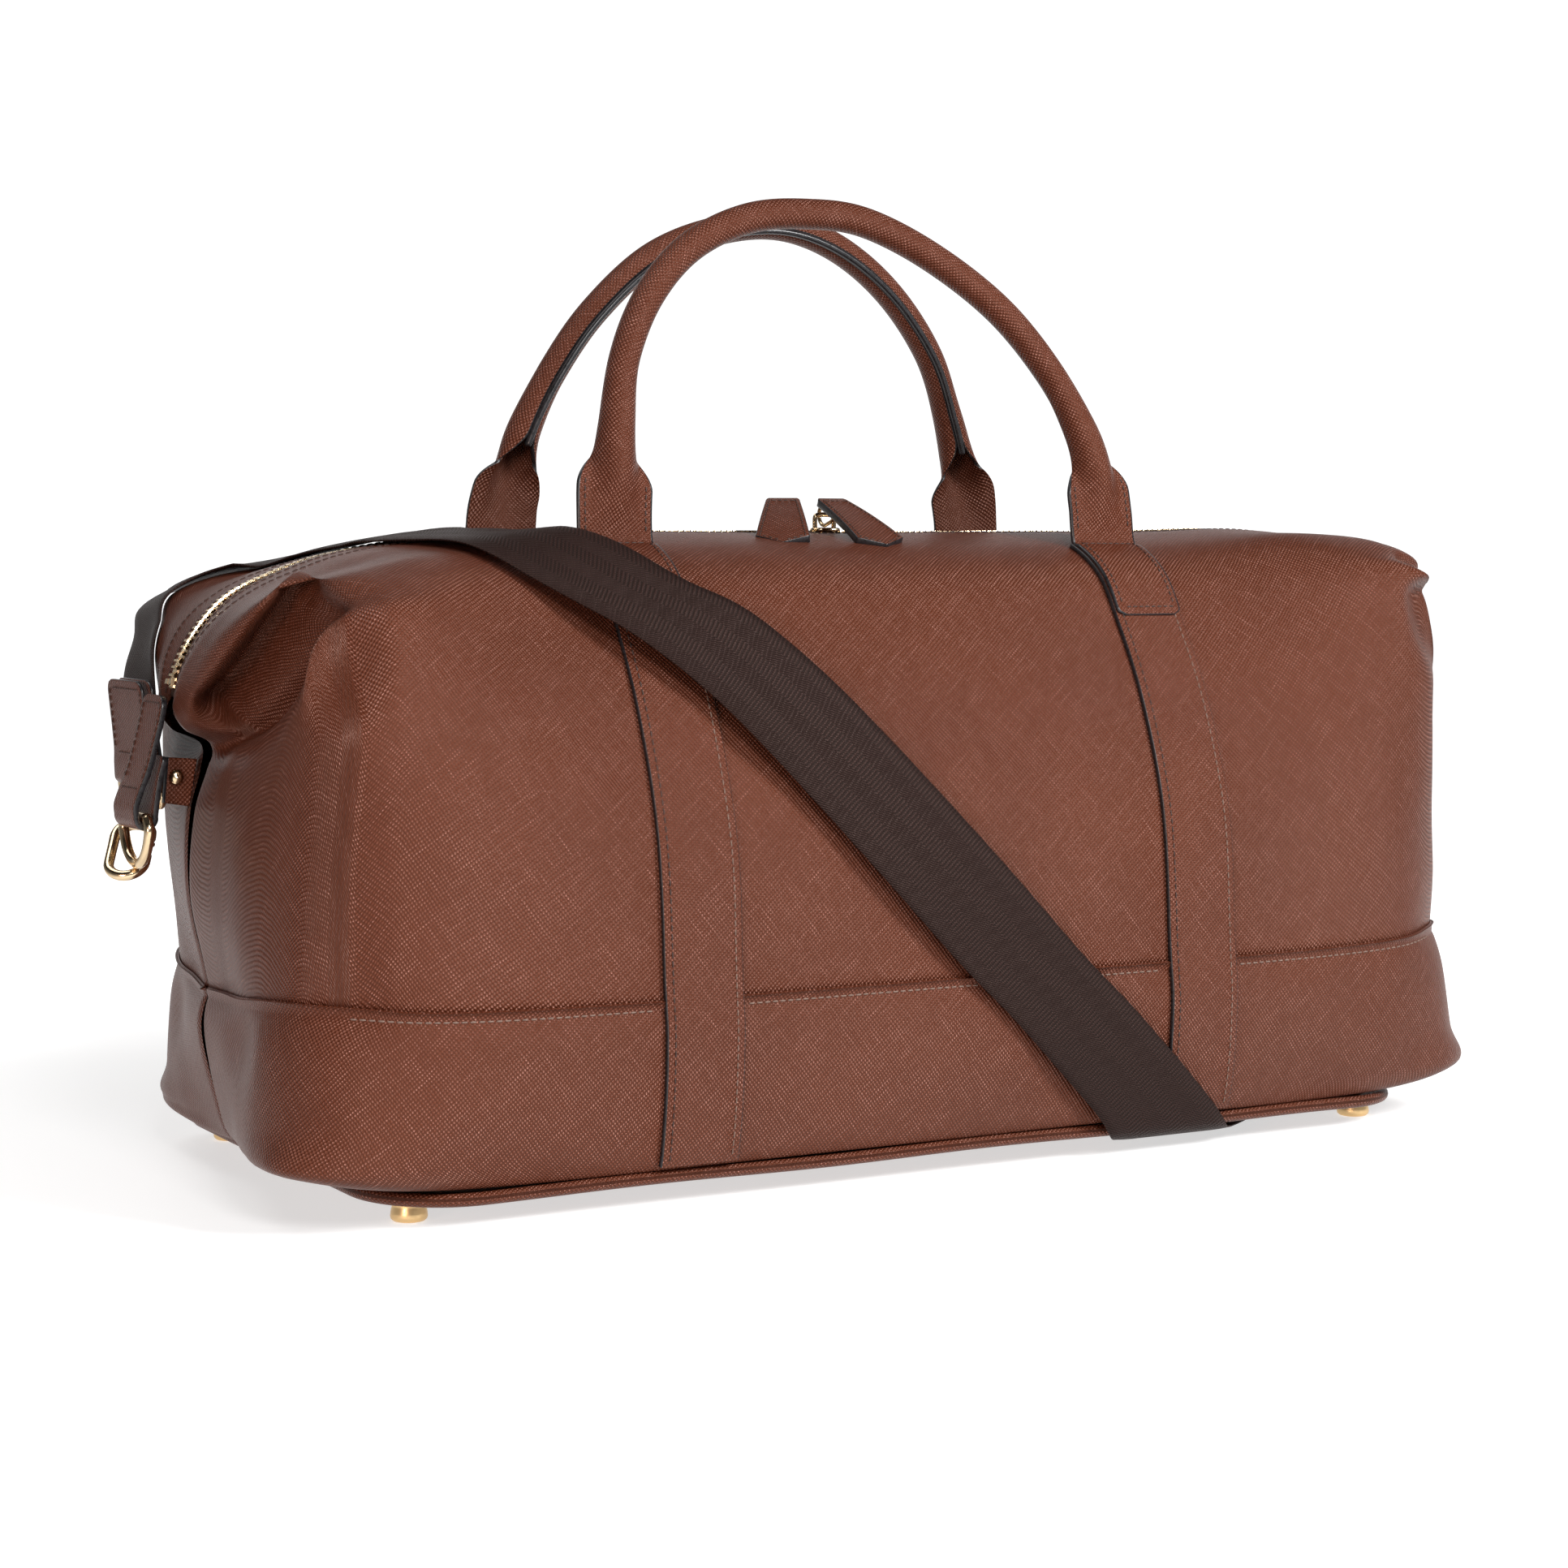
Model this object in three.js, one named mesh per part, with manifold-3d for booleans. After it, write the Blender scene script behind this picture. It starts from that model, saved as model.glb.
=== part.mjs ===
// Weekender bag: leather shell, zipped top, two rolled handles, webbing shoulder strap.
// Millimetres, +Z up. X runs along the bag, -Y is its front. The feet stand on z = 0.
import * as THREE from 'three';
import { mergeVertices } from 'three/addons/utils/BufferGeometryUtils.js';
import Module from 'manifold-3d';

// ---------- driving dimensions ----------
const LEATHER = 1.6;            // thickness of one leather panel
const GAP = 0.35;               // air kept between neighbouring pieces
const STRIP_X = 109;            // middle of the vertical strips and of the handle ends
const STRIP_WIDTH = 31;
const STRIP_THICKNESS = 1.6;
const TAB_THICKNESS = 2.6;      // the handle's end tab, three layers of leather
const BACK_TAPER = 0.066 / 92;  // the back half is this much shorter, per mm of depth
const FRONT_FLARE = 0.03 / 92;  // the front's lower corners stand out by this much, per mm
const RIGHT_LIFT = 13;          // the right top corners stand this much higher
const FRONT_TUCK = 0.14;        // the front's top corners are drawn in by this share of their depth
const STRAIGHT = 130;           // half length of the middle stretch with one constant section

const BASE_HALF = { x: 222, y: 107.5, r: 32 };
const BASE_BOTTOM = 8;
const BASE_THICKNESS = 2.4;
const BOARD_THICKNESS = 1.9;
const BOARD_INSET = 4;          // the stiffening board stops this far inside the base
const PIPING_RADIUS = 2.4;
const FOOT = { x: 209, y: 88.5, radius: 7, neck: 1.8, height: 7.7 };

const CHAIN_WIDTH = 2.5;        // one row of zip teeth
const CHAIN_HEIGHT = 2.2;
const TAPE_WIDTH = 9.5;
const TAPE_THICKNESS = 0.7;

const HANDLE_RADIUS = 6;
const CORE_RADIUS = 3.6;
const HANDLE_TOP = 358.5;         // height of the handle's middle line at its crown
const HANDLE_FOOT = { y: 49, z: 240 };
const HANDLE_LEAN = 0.11;       // the handles lean towards each other, mm per mm of height

const WEBBING = { width: 38, thickness: 1.5 };
const RING = { wire: 1.9, halfWidth: 14.2, height: 17 };
const TAB_WIDTH = 22;

// ---------- small vector helpers ----------
const vec = (x, y, z) => new THREE.Vector3(x, y, z);
const at = (p) => vec(p[0], p[1], p[2]);
const clamp01 = (t) => Math.min(1, Math.max(0, t));
const smooth = (t) => clamp01(t) ** 2 * (3 - 2 * clamp01(t));
const lerp = (a, b, t) => a + (b - a) * t;
const range = (n) => Array.from({ length: n }, (_, i) => i);

// Point on a smooth line through the given points, t from 0 to points.length - 1.
function through(points, t) {
  const last = points.length - 1;
  const i = Math.min(Math.floor(t), last - 1);
  const f = t - i;
  const p = (k) => {
    if (k < 0) return points[0].clone().multiplyScalar(2).sub(points[1]);
    if (k > last) return points[last].clone().multiplyScalar(2).sub(points[last - 1]);
    return points[k];
  };
  const [a, b, c, d] = [p(i - 1), p(i), p(i + 1), p(i + 2)];
  const axis = (k) => {
    const [w, x, y, z] = [a[k], b[k], c[k], d[k]];
    return 0.5 * (2 * x + (y - w) * f + (2 * w - 5 * x + 4 * y - z) * f * f
      + (3 * x - w - 3 * y + z) * f * f * f);
  };
  return vec(axis('x'), axis('y'), axis('z'));
}

// ---------- mesh helpers ----------
function geometry(vertices, triangles) {
  const g = new THREE.BufferGeometry();
  let volume = 0;
  for (const [i, j, k] of triangles) {
    volume += vertices[i].dot(vertices[j].clone().cross(vertices[k]));
  }
  const index = triangles.flatMap(([i, j, k]) => (volume > 0 ? [i, j, k] : [i, k, j]));
  g.setAttribute('position', new THREE.Float32BufferAttribute(vertices.flatMap((v) => v.toArray()), 3));
  g.setIndex(index);
  g.computeVertexNormals();
  return g;
}

// A body through a row of equal outlines, closed by flat ends or joined end to end.
function loft(outlines, looped = false) {
  const n = outlines[0].length;
  const vertices = outlines.flat();
  const triangles = [];
  const rows = looped ? outlines.length : outlines.length - 1;
  for (let r = 0; r < rows; r += 1) {
    const next = (r + 1) % outlines.length;
    for (let k = 0; k < n; k += 1) {
      const [a, b] = [r * n + k, r * n + ((k + 1) % n)];
      const [c, d] = [next * n + k, next * n + ((k + 1) % n)];
      triangles.push([a, b, d], [a, d, c]);
    }
  }
  if (!looped) {
    const end = (outlines.length - 1) * n;
    const flatEnd = (offset, flip) => {
      const ring = range(n).map((k) => offset + k);
      for (let k = 1; k < n - 1; k += 1) {
        triangles.push(flip ? [ring[0], ring[k + 1], ring[k]] : [ring[0], ring[k], ring[k + 1]]);
      }
    };
    flatEnd(0, true);
    flatEnd(end, false);
  }
  return geometry(vertices, triangles);
}

// A sheet of the given thickness under a grid of points.
function sheet(grid, thickness, inward) {
  const rows = grid.length;
  const cols = grid[0].length;
  const pick = (i, j) => grid[Math.min(rows - 1, Math.max(0, i))][Math.min(cols - 1, Math.max(0, j))];
  const under = grid.map((row, i) => row.map((p, j) => {
    const du = pick(i + 1, j).clone().sub(pick(i - 1, j));
    const dv = pick(i, j + 1).clone().sub(pick(i, j - 1));
    return p.clone().addScaledVector(du.cross(dv).normalize(), inward * thickness);
  }));
  const vertices = [...grid.flat(), ...under.flat()];
  const id = (side, i, j) => side * rows * cols + i * cols + j;
  const triangles = [];
  const quad = (a, b, c, d) => triangles.push([a, b, c], [a, c, d]);
  for (let i = 0; i < rows - 1; i += 1) {
    for (let j = 0; j < cols - 1; j += 1) {
      quad(id(0, i, j), id(0, i + 1, j), id(0, i + 1, j + 1), id(0, i, j + 1));
      quad(id(1, i, j), id(1, i, j + 1), id(1, i + 1, j + 1), id(1, i + 1, j));
    }
  }
  for (let i = 0; i < rows - 1; i += 1) {
    quad(id(0, i, 0), id(1, i, 0), id(1, i + 1, 0), id(0, i + 1, 0));
    quad(id(0, i + 1, cols - 1), id(1, i + 1, cols - 1), id(1, i, cols - 1), id(0, i, cols - 1));
  }
  for (let j = 0; j < cols - 1; j += 1) {
    quad(id(0, 0, j + 1), id(1, 0, j + 1), id(1, 0, j), id(0, 0, j));
    quad(id(0, rows - 1, j), id(1, rows - 1, j), id(1, rows - 1, j + 1), id(0, rows - 1, j + 1));
  }
  return geometry(vertices, triangles);
}

// Round bar along a row of points.
function bar(points, radius, sides = 8, looped = false) {
  const n = points.length;
  const tangent = (i) => {
    const before = looped ? points[(i - 1 + n) % n] : points[Math.max(0, i - 1)];
    const after = looped ? points[(i + 1) % n] : points[Math.min(n - 1, i + 1)];
    return after.clone().sub(before).normalize();
  };
  let side = vec(0, 0, 1).cross(tangent(0));
  if (side.length() < 0.1) side = vec(1, 0, 0).cross(tangent(0));
  side.normalize();
  const outlines = points.map((p, i) => {
    const t = tangent(i);
    side.addScaledVector(t, -side.dot(t)).normalize();
    const up = t.clone().cross(side);
    return range(sides).map((k) => {
      const a = ((k + 0.5) * 2 * Math.PI) / sides;
      return p.clone().addScaledVector(side, radius * Math.cos(a)).addScaledVector(up, radius * Math.sin(a));
    });
  });
  return loft(outlines, looped);
}


// Outline [x, z] drawn in the XZ plane, drawn out along Y from y0 to y1.
// A bent strip between an outer and an inner line of as many [a, b] points, from t0 to t1 across
// it. place(t, a, b) gives each point in space.
function bentStrip(outer, inner, t0, t1, place = (y, x, z) => vec(x, y, z)) {
  const m = outer.length;
  const outline = [...outer, ...inner];
  const vertices = [t0, t1].flatMap((t) => outline.map(([a, b]) => place(t, a, b)));
  const loop = [...range(m), ...range(m).map((k) => 2 * m - 1 - k)];
  const triangles = [];
  loop.forEach((a, k) => {
    const b = loop[(k + 1) % (2 * m)];
    triangles.push([a, b, b + 2 * m], [a, b + 2 * m, a + 2 * m]);
  });
  for (let k = 0; k < m - 1; k += 1) {
    const [a, b, c, d] = [k, k + 1, m + k + 1, m + k];
    const e = 2 * m;
    triangles.push([a, c, b], [a, d, c], [a + e, b + e, c + e], [a + e, c + e, d + e]);
  }
  return geometry(vertices, triangles);
}

function slabXZ(outline, y0, y1) {
  return loft([y0, y1].map((y) => outline.map(([x, z]) => vec(x, y, z))));
}

function roundedRectangle(halfX, halfY, radius, z, cornerSteps = 5) {
  const points = [];
  const corners = [[1, 1, 0], [-1, 1, 1], [-1, -1, 2], [1, -1, 3]];
  for (const [sx, sy, quarter] of corners) {
    for (let k = 0; k <= cornerSteps; k += 1) {
      const a = (quarter + k / cornerSteps) * (Math.PI / 2);
      const [cx, cy] = [sx * (halfX - radius), sy * (halfY - radius)];
      points.push(vec(cx + radius * Math.cos(a), cy + radius * Math.sin(a), z));
    }
  }
  return points;
}

// ---------- joining and cutting ----------
const wasm = await Module();
wasm.setup();

function toManifold(g) {
  const clean = g.clone();
  clean.deleteAttribute('normal');
  clean.deleteAttribute('uv');
  const merged = mergeVertices(clean, 1e-4);
  return new wasm.Manifold(new wasm.Mesh({
    numProp: 3,
    vertProperties: new Float32Array(merged.attributes.position.array),
    triVerts: new Uint32Array(merged.index.array),
  }));
}

function fromManifold(solid) {
  const mesh = solid.getMesh();
  const g = new THREE.BufferGeometry();
  g.setAttribute('position', new THREE.Float32BufferAttribute(Array.from(mesh.vertProperties), 3));
  g.setIndex(Array.from(mesh.triVerts));
  g.computeVertexNormals();
  return g;
}

const join = (...parts) => fromManifold(parts.map(toManifold).reduce((a, b) => a.add(b)));
const cut = (body, ...tools) => fromManifold(
  tools.map(toManifold).reduce((a, b) => a.subtract(b), toManifold(body)),
);

// A cylinder standing on z0.
function post(x, y, z0, z1, radius, sides = 8) {
  const g = new THREE.CylinderGeometry(radius, radius, z1 - z0, sides);
  g.rotateX(Math.PI / 2);
  g.translate(x, y, (z0 + z1) / 2);
  return g;
}

// ---------- the bag's outer surface ----------
// Each rail is one quarter of a line round the bag, as [|x|, |y|, z], from the middle of the
// long side, round the corner and on to the seam at the middle of the end.
const ZIP_EDGE = [[0, 5.5, 238], [70, 5.5, 238], [130, 5.5, 238], [175, 5.5, 233.5], [205, 5.5, 228.5],
  [226, 5.5, 221.5], [240, 5.5, 214.5], [249, 5.5, 206], [256, 5.5, 196], [260.5, 5, 186], [262.5, 4, 176]];
const CREST = [[0, 25, 237], [70, 25, 237], [130, 25, 237], [175, 28, 233], [205, 32, 228],
  [228, 36, 222], [243, 38, 215], [254, 35, 206], [261, 27, 195], [264, 17, 184], [264.5, 8, 173]];
const FOLD = [[0, 50, 231.5], [70, 50, 231.5], [130, 50, 231.5], [175, 58, 229], [205, 67, 225],
  [230, 74, 221], [248, 76, 213], [254, 62, 201], [258, 45, 188], [259.5, 27, 174], [260, 9, 166]];
const TUCK = [[0, 69, 221], [70, 69, 221], [130, 69, 221], [175, 76, 221], [205, 86, 219],
  [227, 90, 214], [224, 80, 203], [225, 64, 189], [231, 47, 177], [241, 28, 166], [250, 7, 161]];
const RIM = [[0, 81, 204.5], [70, 81, 204.5], [130, 81, 204.5], [175, 89, 206], [205, 98, 208],
  [229, 103, 207], [241, 103, 201], [245, 94, 185], [250, 70, 169], [252, 41, 160], [250.5, 4, 152]];
const UPPER = [[0, 99, 172], [70, 99, 172], [130, 99, 172], [175, 105, 176], [205, 107, 178],
  [228, 107, 178], [242, 98, 174], [249, 85, 161], [254, 65, 148], [255, 38, 140], [254.5, 2, 136]];
const MIDDLE = [[0, 113, 128], [70, 113, 128], [130, 113, 128], [175, 113, 130], [205, 112, 132],
  [228, 105, 132], [241, 94, 130], [249, 78, 125], [254, 58, 118], [255, 34, 112], [256, 1, 109]];
const SEAM = [[0, 117.5, 74], [70, 117.5, 74], [130, 117.5, 74], [175, 116.5, 74.5], [205, 113, 75.5],
  [224, 104, 77], [240, 90, 78], [247, 72, 77.5], [250, 50, 76], [249, 26, 74.5], [249.5, 0.7, 73.5]];
const BAND_TOP = SEAM.map(([x, y, z]) => [x, y, z - GAP]);
const BAND_UPPER = [[0, 118.5, 60], [70, 118.5, 60], [130, 118.5, 60], [175, 118, 60], [205, 115, 61],
  [229, 106, 62], [244, 92, 62], [251, 73, 61], [250, 50, 60], [252, 26, 59], [252, 0.7, 58]];
const BAND_LOWER = [[0, 117, 36], [70, 117, 36], [130, 117, 36], [175, 117, 36], [205, 116, 37],
  [230, 109, 37], [246, 95, 36], [253, 75, 36], [253, 51, 35], [249.5, 26, 34], [247, 0.7, 34]];
const BAND_FOOT = [[0, 113, 15], [70, 113, 15], [130, 113, 15], [175, 112, 15], [205, 112, 16],
  [231, 109, 18], [249, 96, 20.5], [252, 75, 20], [248, 50, 18.5], [243, 25, 17], [240, 0.7, 17]];
const BAND_HEM = [[0, 107, 13], [70, 107, 13], [130, 107, 13], [175, 106.5, 13], [200, 104, 13],
  [213, 96, 13], [219, 83, 13], [221, 68, 13], [221.5, 48, 13], [222, 25, 13], [222, 0.7, 13]];
const PANEL_RAILS = [ZIP_EDGE, CREST, FOLD, TUCK, RIM, UPPER, MIDDLE, SEAM].map((rail) => rail.map(at));
const BAND_RAILS = [BAND_TOP, BAND_UPPER, BAND_LOWER, BAND_FOOT, BAND_HEM].map((rail) => rail.map(at));
const LAST_STATION = ZIP_EDGE.length - 1;

// Turns a point of the quarter into its place on one of the four corners of the soft bag.
function settle(point, sx, sy) {
  const away = smooth((point.x - STRAIGHT) / 80) * smooth((point.z - 12) / 10);
  const back = sy > 0 ? BACK_TAPER * point.y * away : 0;
  const front = sy < 0 ? FRONT_FLARE * point.y * away * (1 - smooth((point.z - 80) / 100)) : 0;
  const lift = sx > 0 ? RIGHT_LIFT * smooth((point.x - 120) / 120) * smooth((point.z - 100) / 100) : 0;
  const keep = sx > 0 ? 1 - 1.2 * smooth((point.z - 200) / 10) : 1;
  const tuck = sy < 0 ? keep * FRONT_TUCK * smooth((point.x - 215) / 25) * smooth((point.z - 165) / 35) : 0;
  return vec(sx * point.x * (1 - back + front), sy * point.y * (1 - tuck), point.z + lift);
}

function onRails(rails, u, v, sx, sy) {
  return settle(through(rails.map((rail) => through(rail, u)), v), sx, sy);
}

// Stations for one long piece that runs from the left end seam to the right one, close together
// round the corners and far apart along the straight middle.
const STATIONS = [1, 2, 2.7, 3.4, 4, 4.6, 5.2, 5.8, 6.4, 7, 7.7, 8.4, 9.2, LAST_STATION];
const STATIONS_ROUND = [
  ...STATIONS.map((u) => [u, -1]).reverse(), [0, 1], ...STATIONS.map((u) => [u, 1]),
];

function skin(rails, sy, rows) {
  const grid = STATIONS_ROUND.map(([u, sx]) => range(rows).map(
    (j) => onRails(rails, u, (j * (rails.length - 1)) / (rows - 1), sx, sy),
  ));
  return sheet(grid, LEATHER, -sy);
}

// The section of the straight middle stretch, from the zip down to the hem, as [y, z] points.
const PANEL_ROWS = 15;
const BAND_ROWS = 9;
const section = [
  ...range(PANEL_ROWS).map((j) => onRails(PANEL_RAILS, 0, j / 2, 1, 1)),
  ...range(BAND_ROWS).map((j) => onRails(BAND_RAILS, 0, j / 2, 1, 1)),
];

// Section points from row a to row b, moved out by a distance along the section's normal.
function sectionOffset(a, b, distance) {
  return range(b - a + 1).map((k) => {
    const i = a + k;
    const along = section[Math.min(section.length - 1, i + 1)].clone().sub(section[Math.max(0, i - 1)]);
    const out = vec(0, -along.z, along.y).normalize();
    return section[i].clone().addScaledVector(out, distance);
  });
}

// A flat piece that follows the middle section between two rows.
function stripPiece(x, width, rowA, rowB, lift, thickness, sy) {
  const line = (distance) => sectionOffset(rowA, rowB, distance).map((p) => [p.y, p.z]);
  return bentStrip(line(lift + thickness), line(lift), x - width / 2, x + width / 2, (px, y, z) => vec(px, sy * y, z));
}

// ---------- materials ----------
const LOOKS = {
  leather: [0x6e4233, 0.55, 0],
  webbing: [0x3f302d, 0.9, 0],
  gold: [0xd9b676, 0.22, 1],
  zipTape: [0x4a2e25, 0.9, 0],
  lining: [0x8a7460, 0.9, 0],
  board: [0x35302d, 0.8, 0],
  core: [0xb9ab97, 0.8, 0],
};
function piece(name, g, look) {
  const [color, roughness, metalness] = LOOKS[look];
  const mesh = new THREE.Mesh(g, new THREE.MeshStandardMaterial({ color, roughness, metalness }));
  mesh.name = name;
  return mesh;
}

const bag = new THREE.Group();
const SIDES = [['front', -1], ['back', 1]];
const ENDS = [['left', -1], ['right', 1]];

// ---------- shell ----------
for (const [side, sy] of SIDES) {
  bag.add(piece(`${side}_panel`, skin(PANEL_RAILS, sy, PANEL_ROWS), 'leather'));
  bag.add(piece(`${side}_band`, skin(BAND_RAILS, sy, BAND_ROWS), 'leather'));
}

const footPlaces = [[-1, -1], [1, -1], [-1, 1], [1, 1]].map(([sx, sy]) => [sx * FOOT.x, sy * FOOT.y]);
const baseTop = BASE_BOTTOM + BASE_THICKNESS;
const boardBottom = baseTop + GAP;
const boardTop = boardBottom + BOARD_THICKNESS;

function plate(shrink, z0, z1) {
  const outline = (z) => roundedRectangle(BASE_HALF.x - shrink, BASE_HALF.y - shrink, BASE_HALF.r - shrink / 2, z);
  const holes = footPlaces.map(([x, y]) => post(x, y, z0 - 1, z1 + 1, FOOT.neck + GAP));
  return cut(loft([outline(z0), outline(z1)]), ...holes);
}
bag.add(piece('base_panel', plate(0, BASE_BOTTOM, baseTop), 'leather'));
bag.add(piece('base_board', plate(BOARD_INSET, boardBottom, boardTop), 'board'));
const pipingReach = PIPING_RADIUS + GAP;
const pipingPath = roundedRectangle(
  BASE_HALF.x + pipingReach, BASE_HALF.y + pipingReach, BASE_HALF.r + pipingReach, baseTop - 0.4, 6,
);
bag.add(piece('base_piping', bar(pipingPath, PIPING_RADIUS - 0.2, 8, true), 'leather'));

footPlaces.forEach(([x, y], i) => {
  const profile = [[0, 0], [FOOT.radius - 1.5, 0], [FOOT.radius - 0.4, 1.4], [FOOT.radius - 1.2, FOOT.height],
    [FOOT.neck, FOOT.height], [FOOT.neck, boardTop + 1.8], [0, boardTop + 1.8]];
  const g = new THREE.LatheGeometry(profile.map(([r, z]) => new THREE.Vector2(r, z)), 12);
  g.rotateX(Math.PI / 2);
  const foot = piece(`foot_${i + 1}`, g, 'gold');
  foot.position.set(x, y, 0);
  bag.add(foot);
  const washerHole = post(x, y, boardTop, boardTop + 3, FOOT.neck + GAP);
  const washer = cut(post(x, y, boardTop + GAP, boardTop + GAP + 0.9, 5.2, 10), washerHole);
  bag.add(piece(`foot_washer_${i + 1}`, washer, 'gold'));
});

// ---------- lining, open at the top ----------
const LINING = [[17, 204, 97, 30], [40, 224, 107, 42], [74, 224, 107, 42], [128, 224, 104, 42],
  [172, 210, 91, 38], [204, 192, 72, 32], [219, 170, 56, 26]];
const LINING_WALL = 0.8;
function liningLevel([z, x, y, r], inset, raise) {
  return roundedRectangle(x - inset, y - inset, r - inset, z + raise, 4);
}
const liningOutside = LINING.map((level) => liningLevel(level, 0, 0));
const liningInside = LINING.map((level, i) => liningLevel(level, LINING_WALL, i === 0 ? LINING_WALL : 0));
bag.add(piece('lining', loft([...liningOutside, ...liningInside.reverse()]), 'lining'));
const POCKET = { halfX: 95, low: 90, high: 165, thickness: 1.2, clear: 1.2 };
const liningY = (z) => lerp(104, 91, clamp01((z - 128) / 44)) + (z < 128 ? (128 - z) / 18 : 0);
const pocketLine = [POCKET.low, POCKET.high].map((z) => [liningY(z) - LINING_WALL - POCKET.clear, z]);
const pocketOutline = [
  ...pocketLine,
  ...pocketLine.map(([y, z]) => [y - POCKET.thickness, z]).reverse(),
];
const pocketSolid = loft([-POCKET.halfX, POCKET.halfX].map((x) => pocketOutline.map(([y, z]) => vec(x, y, z))));
bag.add(piece('inner_pocket', pocketSolid, 'lining'));

// ---------- strips and the handles' stitched tabs ----------
const STRIP_TOP_ROW = 4;
const TAB_TOP_ROW = 4;
const TAB_FOOT_ROW = 8;
const STRIP_FOOT_ROW = PANEL_ROWS + 6;
for (const [side, sy] of SIDES) {
  for (const [end, sx] of ENDS) {
    const strip = stripPiece(
      sx * STRIP_X, STRIP_WIDTH, STRIP_TOP_ROW, STRIP_FOOT_ROW, GAP, STRIP_THICKNESS, sy,
    );
    bag.add(piece(`${side}_strip_${end}`, strip, 'leather'));
    const tabLift = GAP + STRIP_THICKNESS + GAP;
    const tab = stripPiece(sx * STRIP_X, STRIP_WIDTH - 1, TAB_TOP_ROW, TAB_FOOT_ROW, tabLift, TAB_THICKNESS, sy);
    bag.add(piece(`${side}_handle_tab_${end}`, tab, 'leather'));
  }
}

// ---------- handles ----------
// The arch as [x, z] from the left foot to the crown; the other half mirrors it.
const ARCH = [[-108, 243], [-107.3, 251], [-105.5, 264], [-102, 279], [-94, 301.5], [-77, 324.5],
  [-54, 344], [-28, 355], [0, HANDLE_TOP]];
const FLARE_TOP = 272;
const OTHER_HALF = ARCH.slice(0, -1).reverse().map(([x, z]) => [-x, z]);
const WHOLE_ARCH = [...ARCH, ...OTHER_HALF].map(([x, z]) => vec(x, 0, z));
// The soft rolls lean sideways by crownShift and one stands a little taller than the other.
function handleSolid(sy, crownShift, rise) {
  const lean = (z) => sy * (HANDLE_FOOT.y - HANDLE_LEAN * (z - HANDLE_FOOT.z));
  const steps = 26;
  const place = (t) => {
    const p = through(WHOLE_ARCH, t * (WHOLE_ARCH.length - 1));
    const height = (p.z - WHOLE_ARCH[0].z) / (HANDLE_TOP - WHOLE_ARCH[0].z);
    const z = p.z + rise * smooth(height);
    return vec(p.x + crownShift * Math.max(0, height) ** 1.5, lean(z), z);
  };
  const outlines = (radiusAt, sides, from, to) => range(steps + 1).map((i) => {
    const t = lerp(from, to, i / steps);
    const p = place(t);
    const tangent = place(Math.min(1, t + 0.01)).sub(place(Math.max(0, t - 0.01))).normalize();
    const across = vec(0, 1, HANDLE_LEAN * -sy).cross(tangent).normalize();
    const depth = tangent.clone().cross(across);
    const [half, thick] = radiusAt(p.z);
    return range(sides).map((k) => {
      const a = ((k + 0.5) * 2 * Math.PI) / sides;
      const sideways = p.clone().addScaledVector(across, half * Math.cos(a));
      return sideways.addScaledVector(depth, thick * Math.sin(a));
    });
  });
  const flare = (z) => 1 - smooth((z - HANDLE_FOOT.z) / (FLARE_TOP - HANDLE_FOOT.z));
  const leatherAt = (z) => [lerp(HANDLE_RADIUS, STRIP_WIDTH / 2, flare(z)), lerp(HANDLE_RADIUS, 2.6, flare(z))];
  const tunnelEnd = 0.17;
  const tunnel = outlines(() => [CORE_RADIUS + GAP, CORE_RADIUS + GAP], 6, tunnelEnd, 1 - tunnelEnd);
  const mouths = [tunnelEnd, 1 - tunnelEnd].map((t) => {
    const p = place(t);
    const step = t < 0.5 ? 0.02 : -0.02;
    const start = place(t + step);
    const inner = vec(p.x * 1.005, p.y - sy * 4, p.z - 4);
    const outer = vec(p.x * 1.01, p.y - sy * 14, p.z - 7);
    return bar([start, p, inner, outer], 3.2, 8);
  });
  const leather = cut(loft(outlines(leatherAt, 10, 0, 1)), loft(tunnel), ...mouths);
  const coreAt = () => [CORE_RADIUS * 0.86, CORE_RADIUS * 0.86];
  const core = loft(outlines(coreAt, 6, tunnelEnd + 0.01, 1 - tunnelEnd - 0.01));
  return { leather, core };
}
const HANDLE_LEANS = { front: [-22, 0], back: [12, 5] };
for (const [side, sy] of SIDES) {
  const { leather, core } = handleSolid(sy, ...HANDLE_LEANS[side]);
  bag.add(piece(`handle_${side}`, leather, 'leather'));
  bag.add(piece(`handle_core_${side}`, core, 'core'));
}

// ---------- zip ----------
// Middle line of the zip from one end to the other, sunk by a depth under the leather's top.
function zipLine(depth, limit = LAST_STATION) {
  const steps = range(15).map((k) => (limit * k) / 14);
  const point = (u, sx) => {
    const here = through(PANEL_RAILS[0], u);
    const ahead = through(PANEL_RAILS[0], Math.min(LAST_STATION, u + 0.05));
    const behind = through(PANEL_RAILS[0], Math.max(0, u - 0.05));
    const along = ahead.sub(behind).setY(0).normalize();
    const sunk = vec(here.x + depth * along.z, 0, here.z - depth * along.x);
    return settle(sunk, sx, 1).setY(0);
  };
  return [...steps.slice(1).reverse().map((u) => point(u, -1)), ...steps.map((u) => point(u, 1))];
}
function zipBand(y0, y1, depth, thickness, limit) {
  const top = zipLine(depth, limit);
  const bottom = zipLine(depth + thickness, limit);
  return loft(top.map((p, i) => [
    p.clone().setY(y0), p.clone().setY(y1), bottom[i].clone().setY(y1), bottom[i].clone().setY(y0),
  ]));
}
const TAPE_DEPTH = LEATHER + 3 * GAP;
const CHAIN_DEPTH = TAPE_DEPTH - GAP - CHAIN_HEIGHT;
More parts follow.
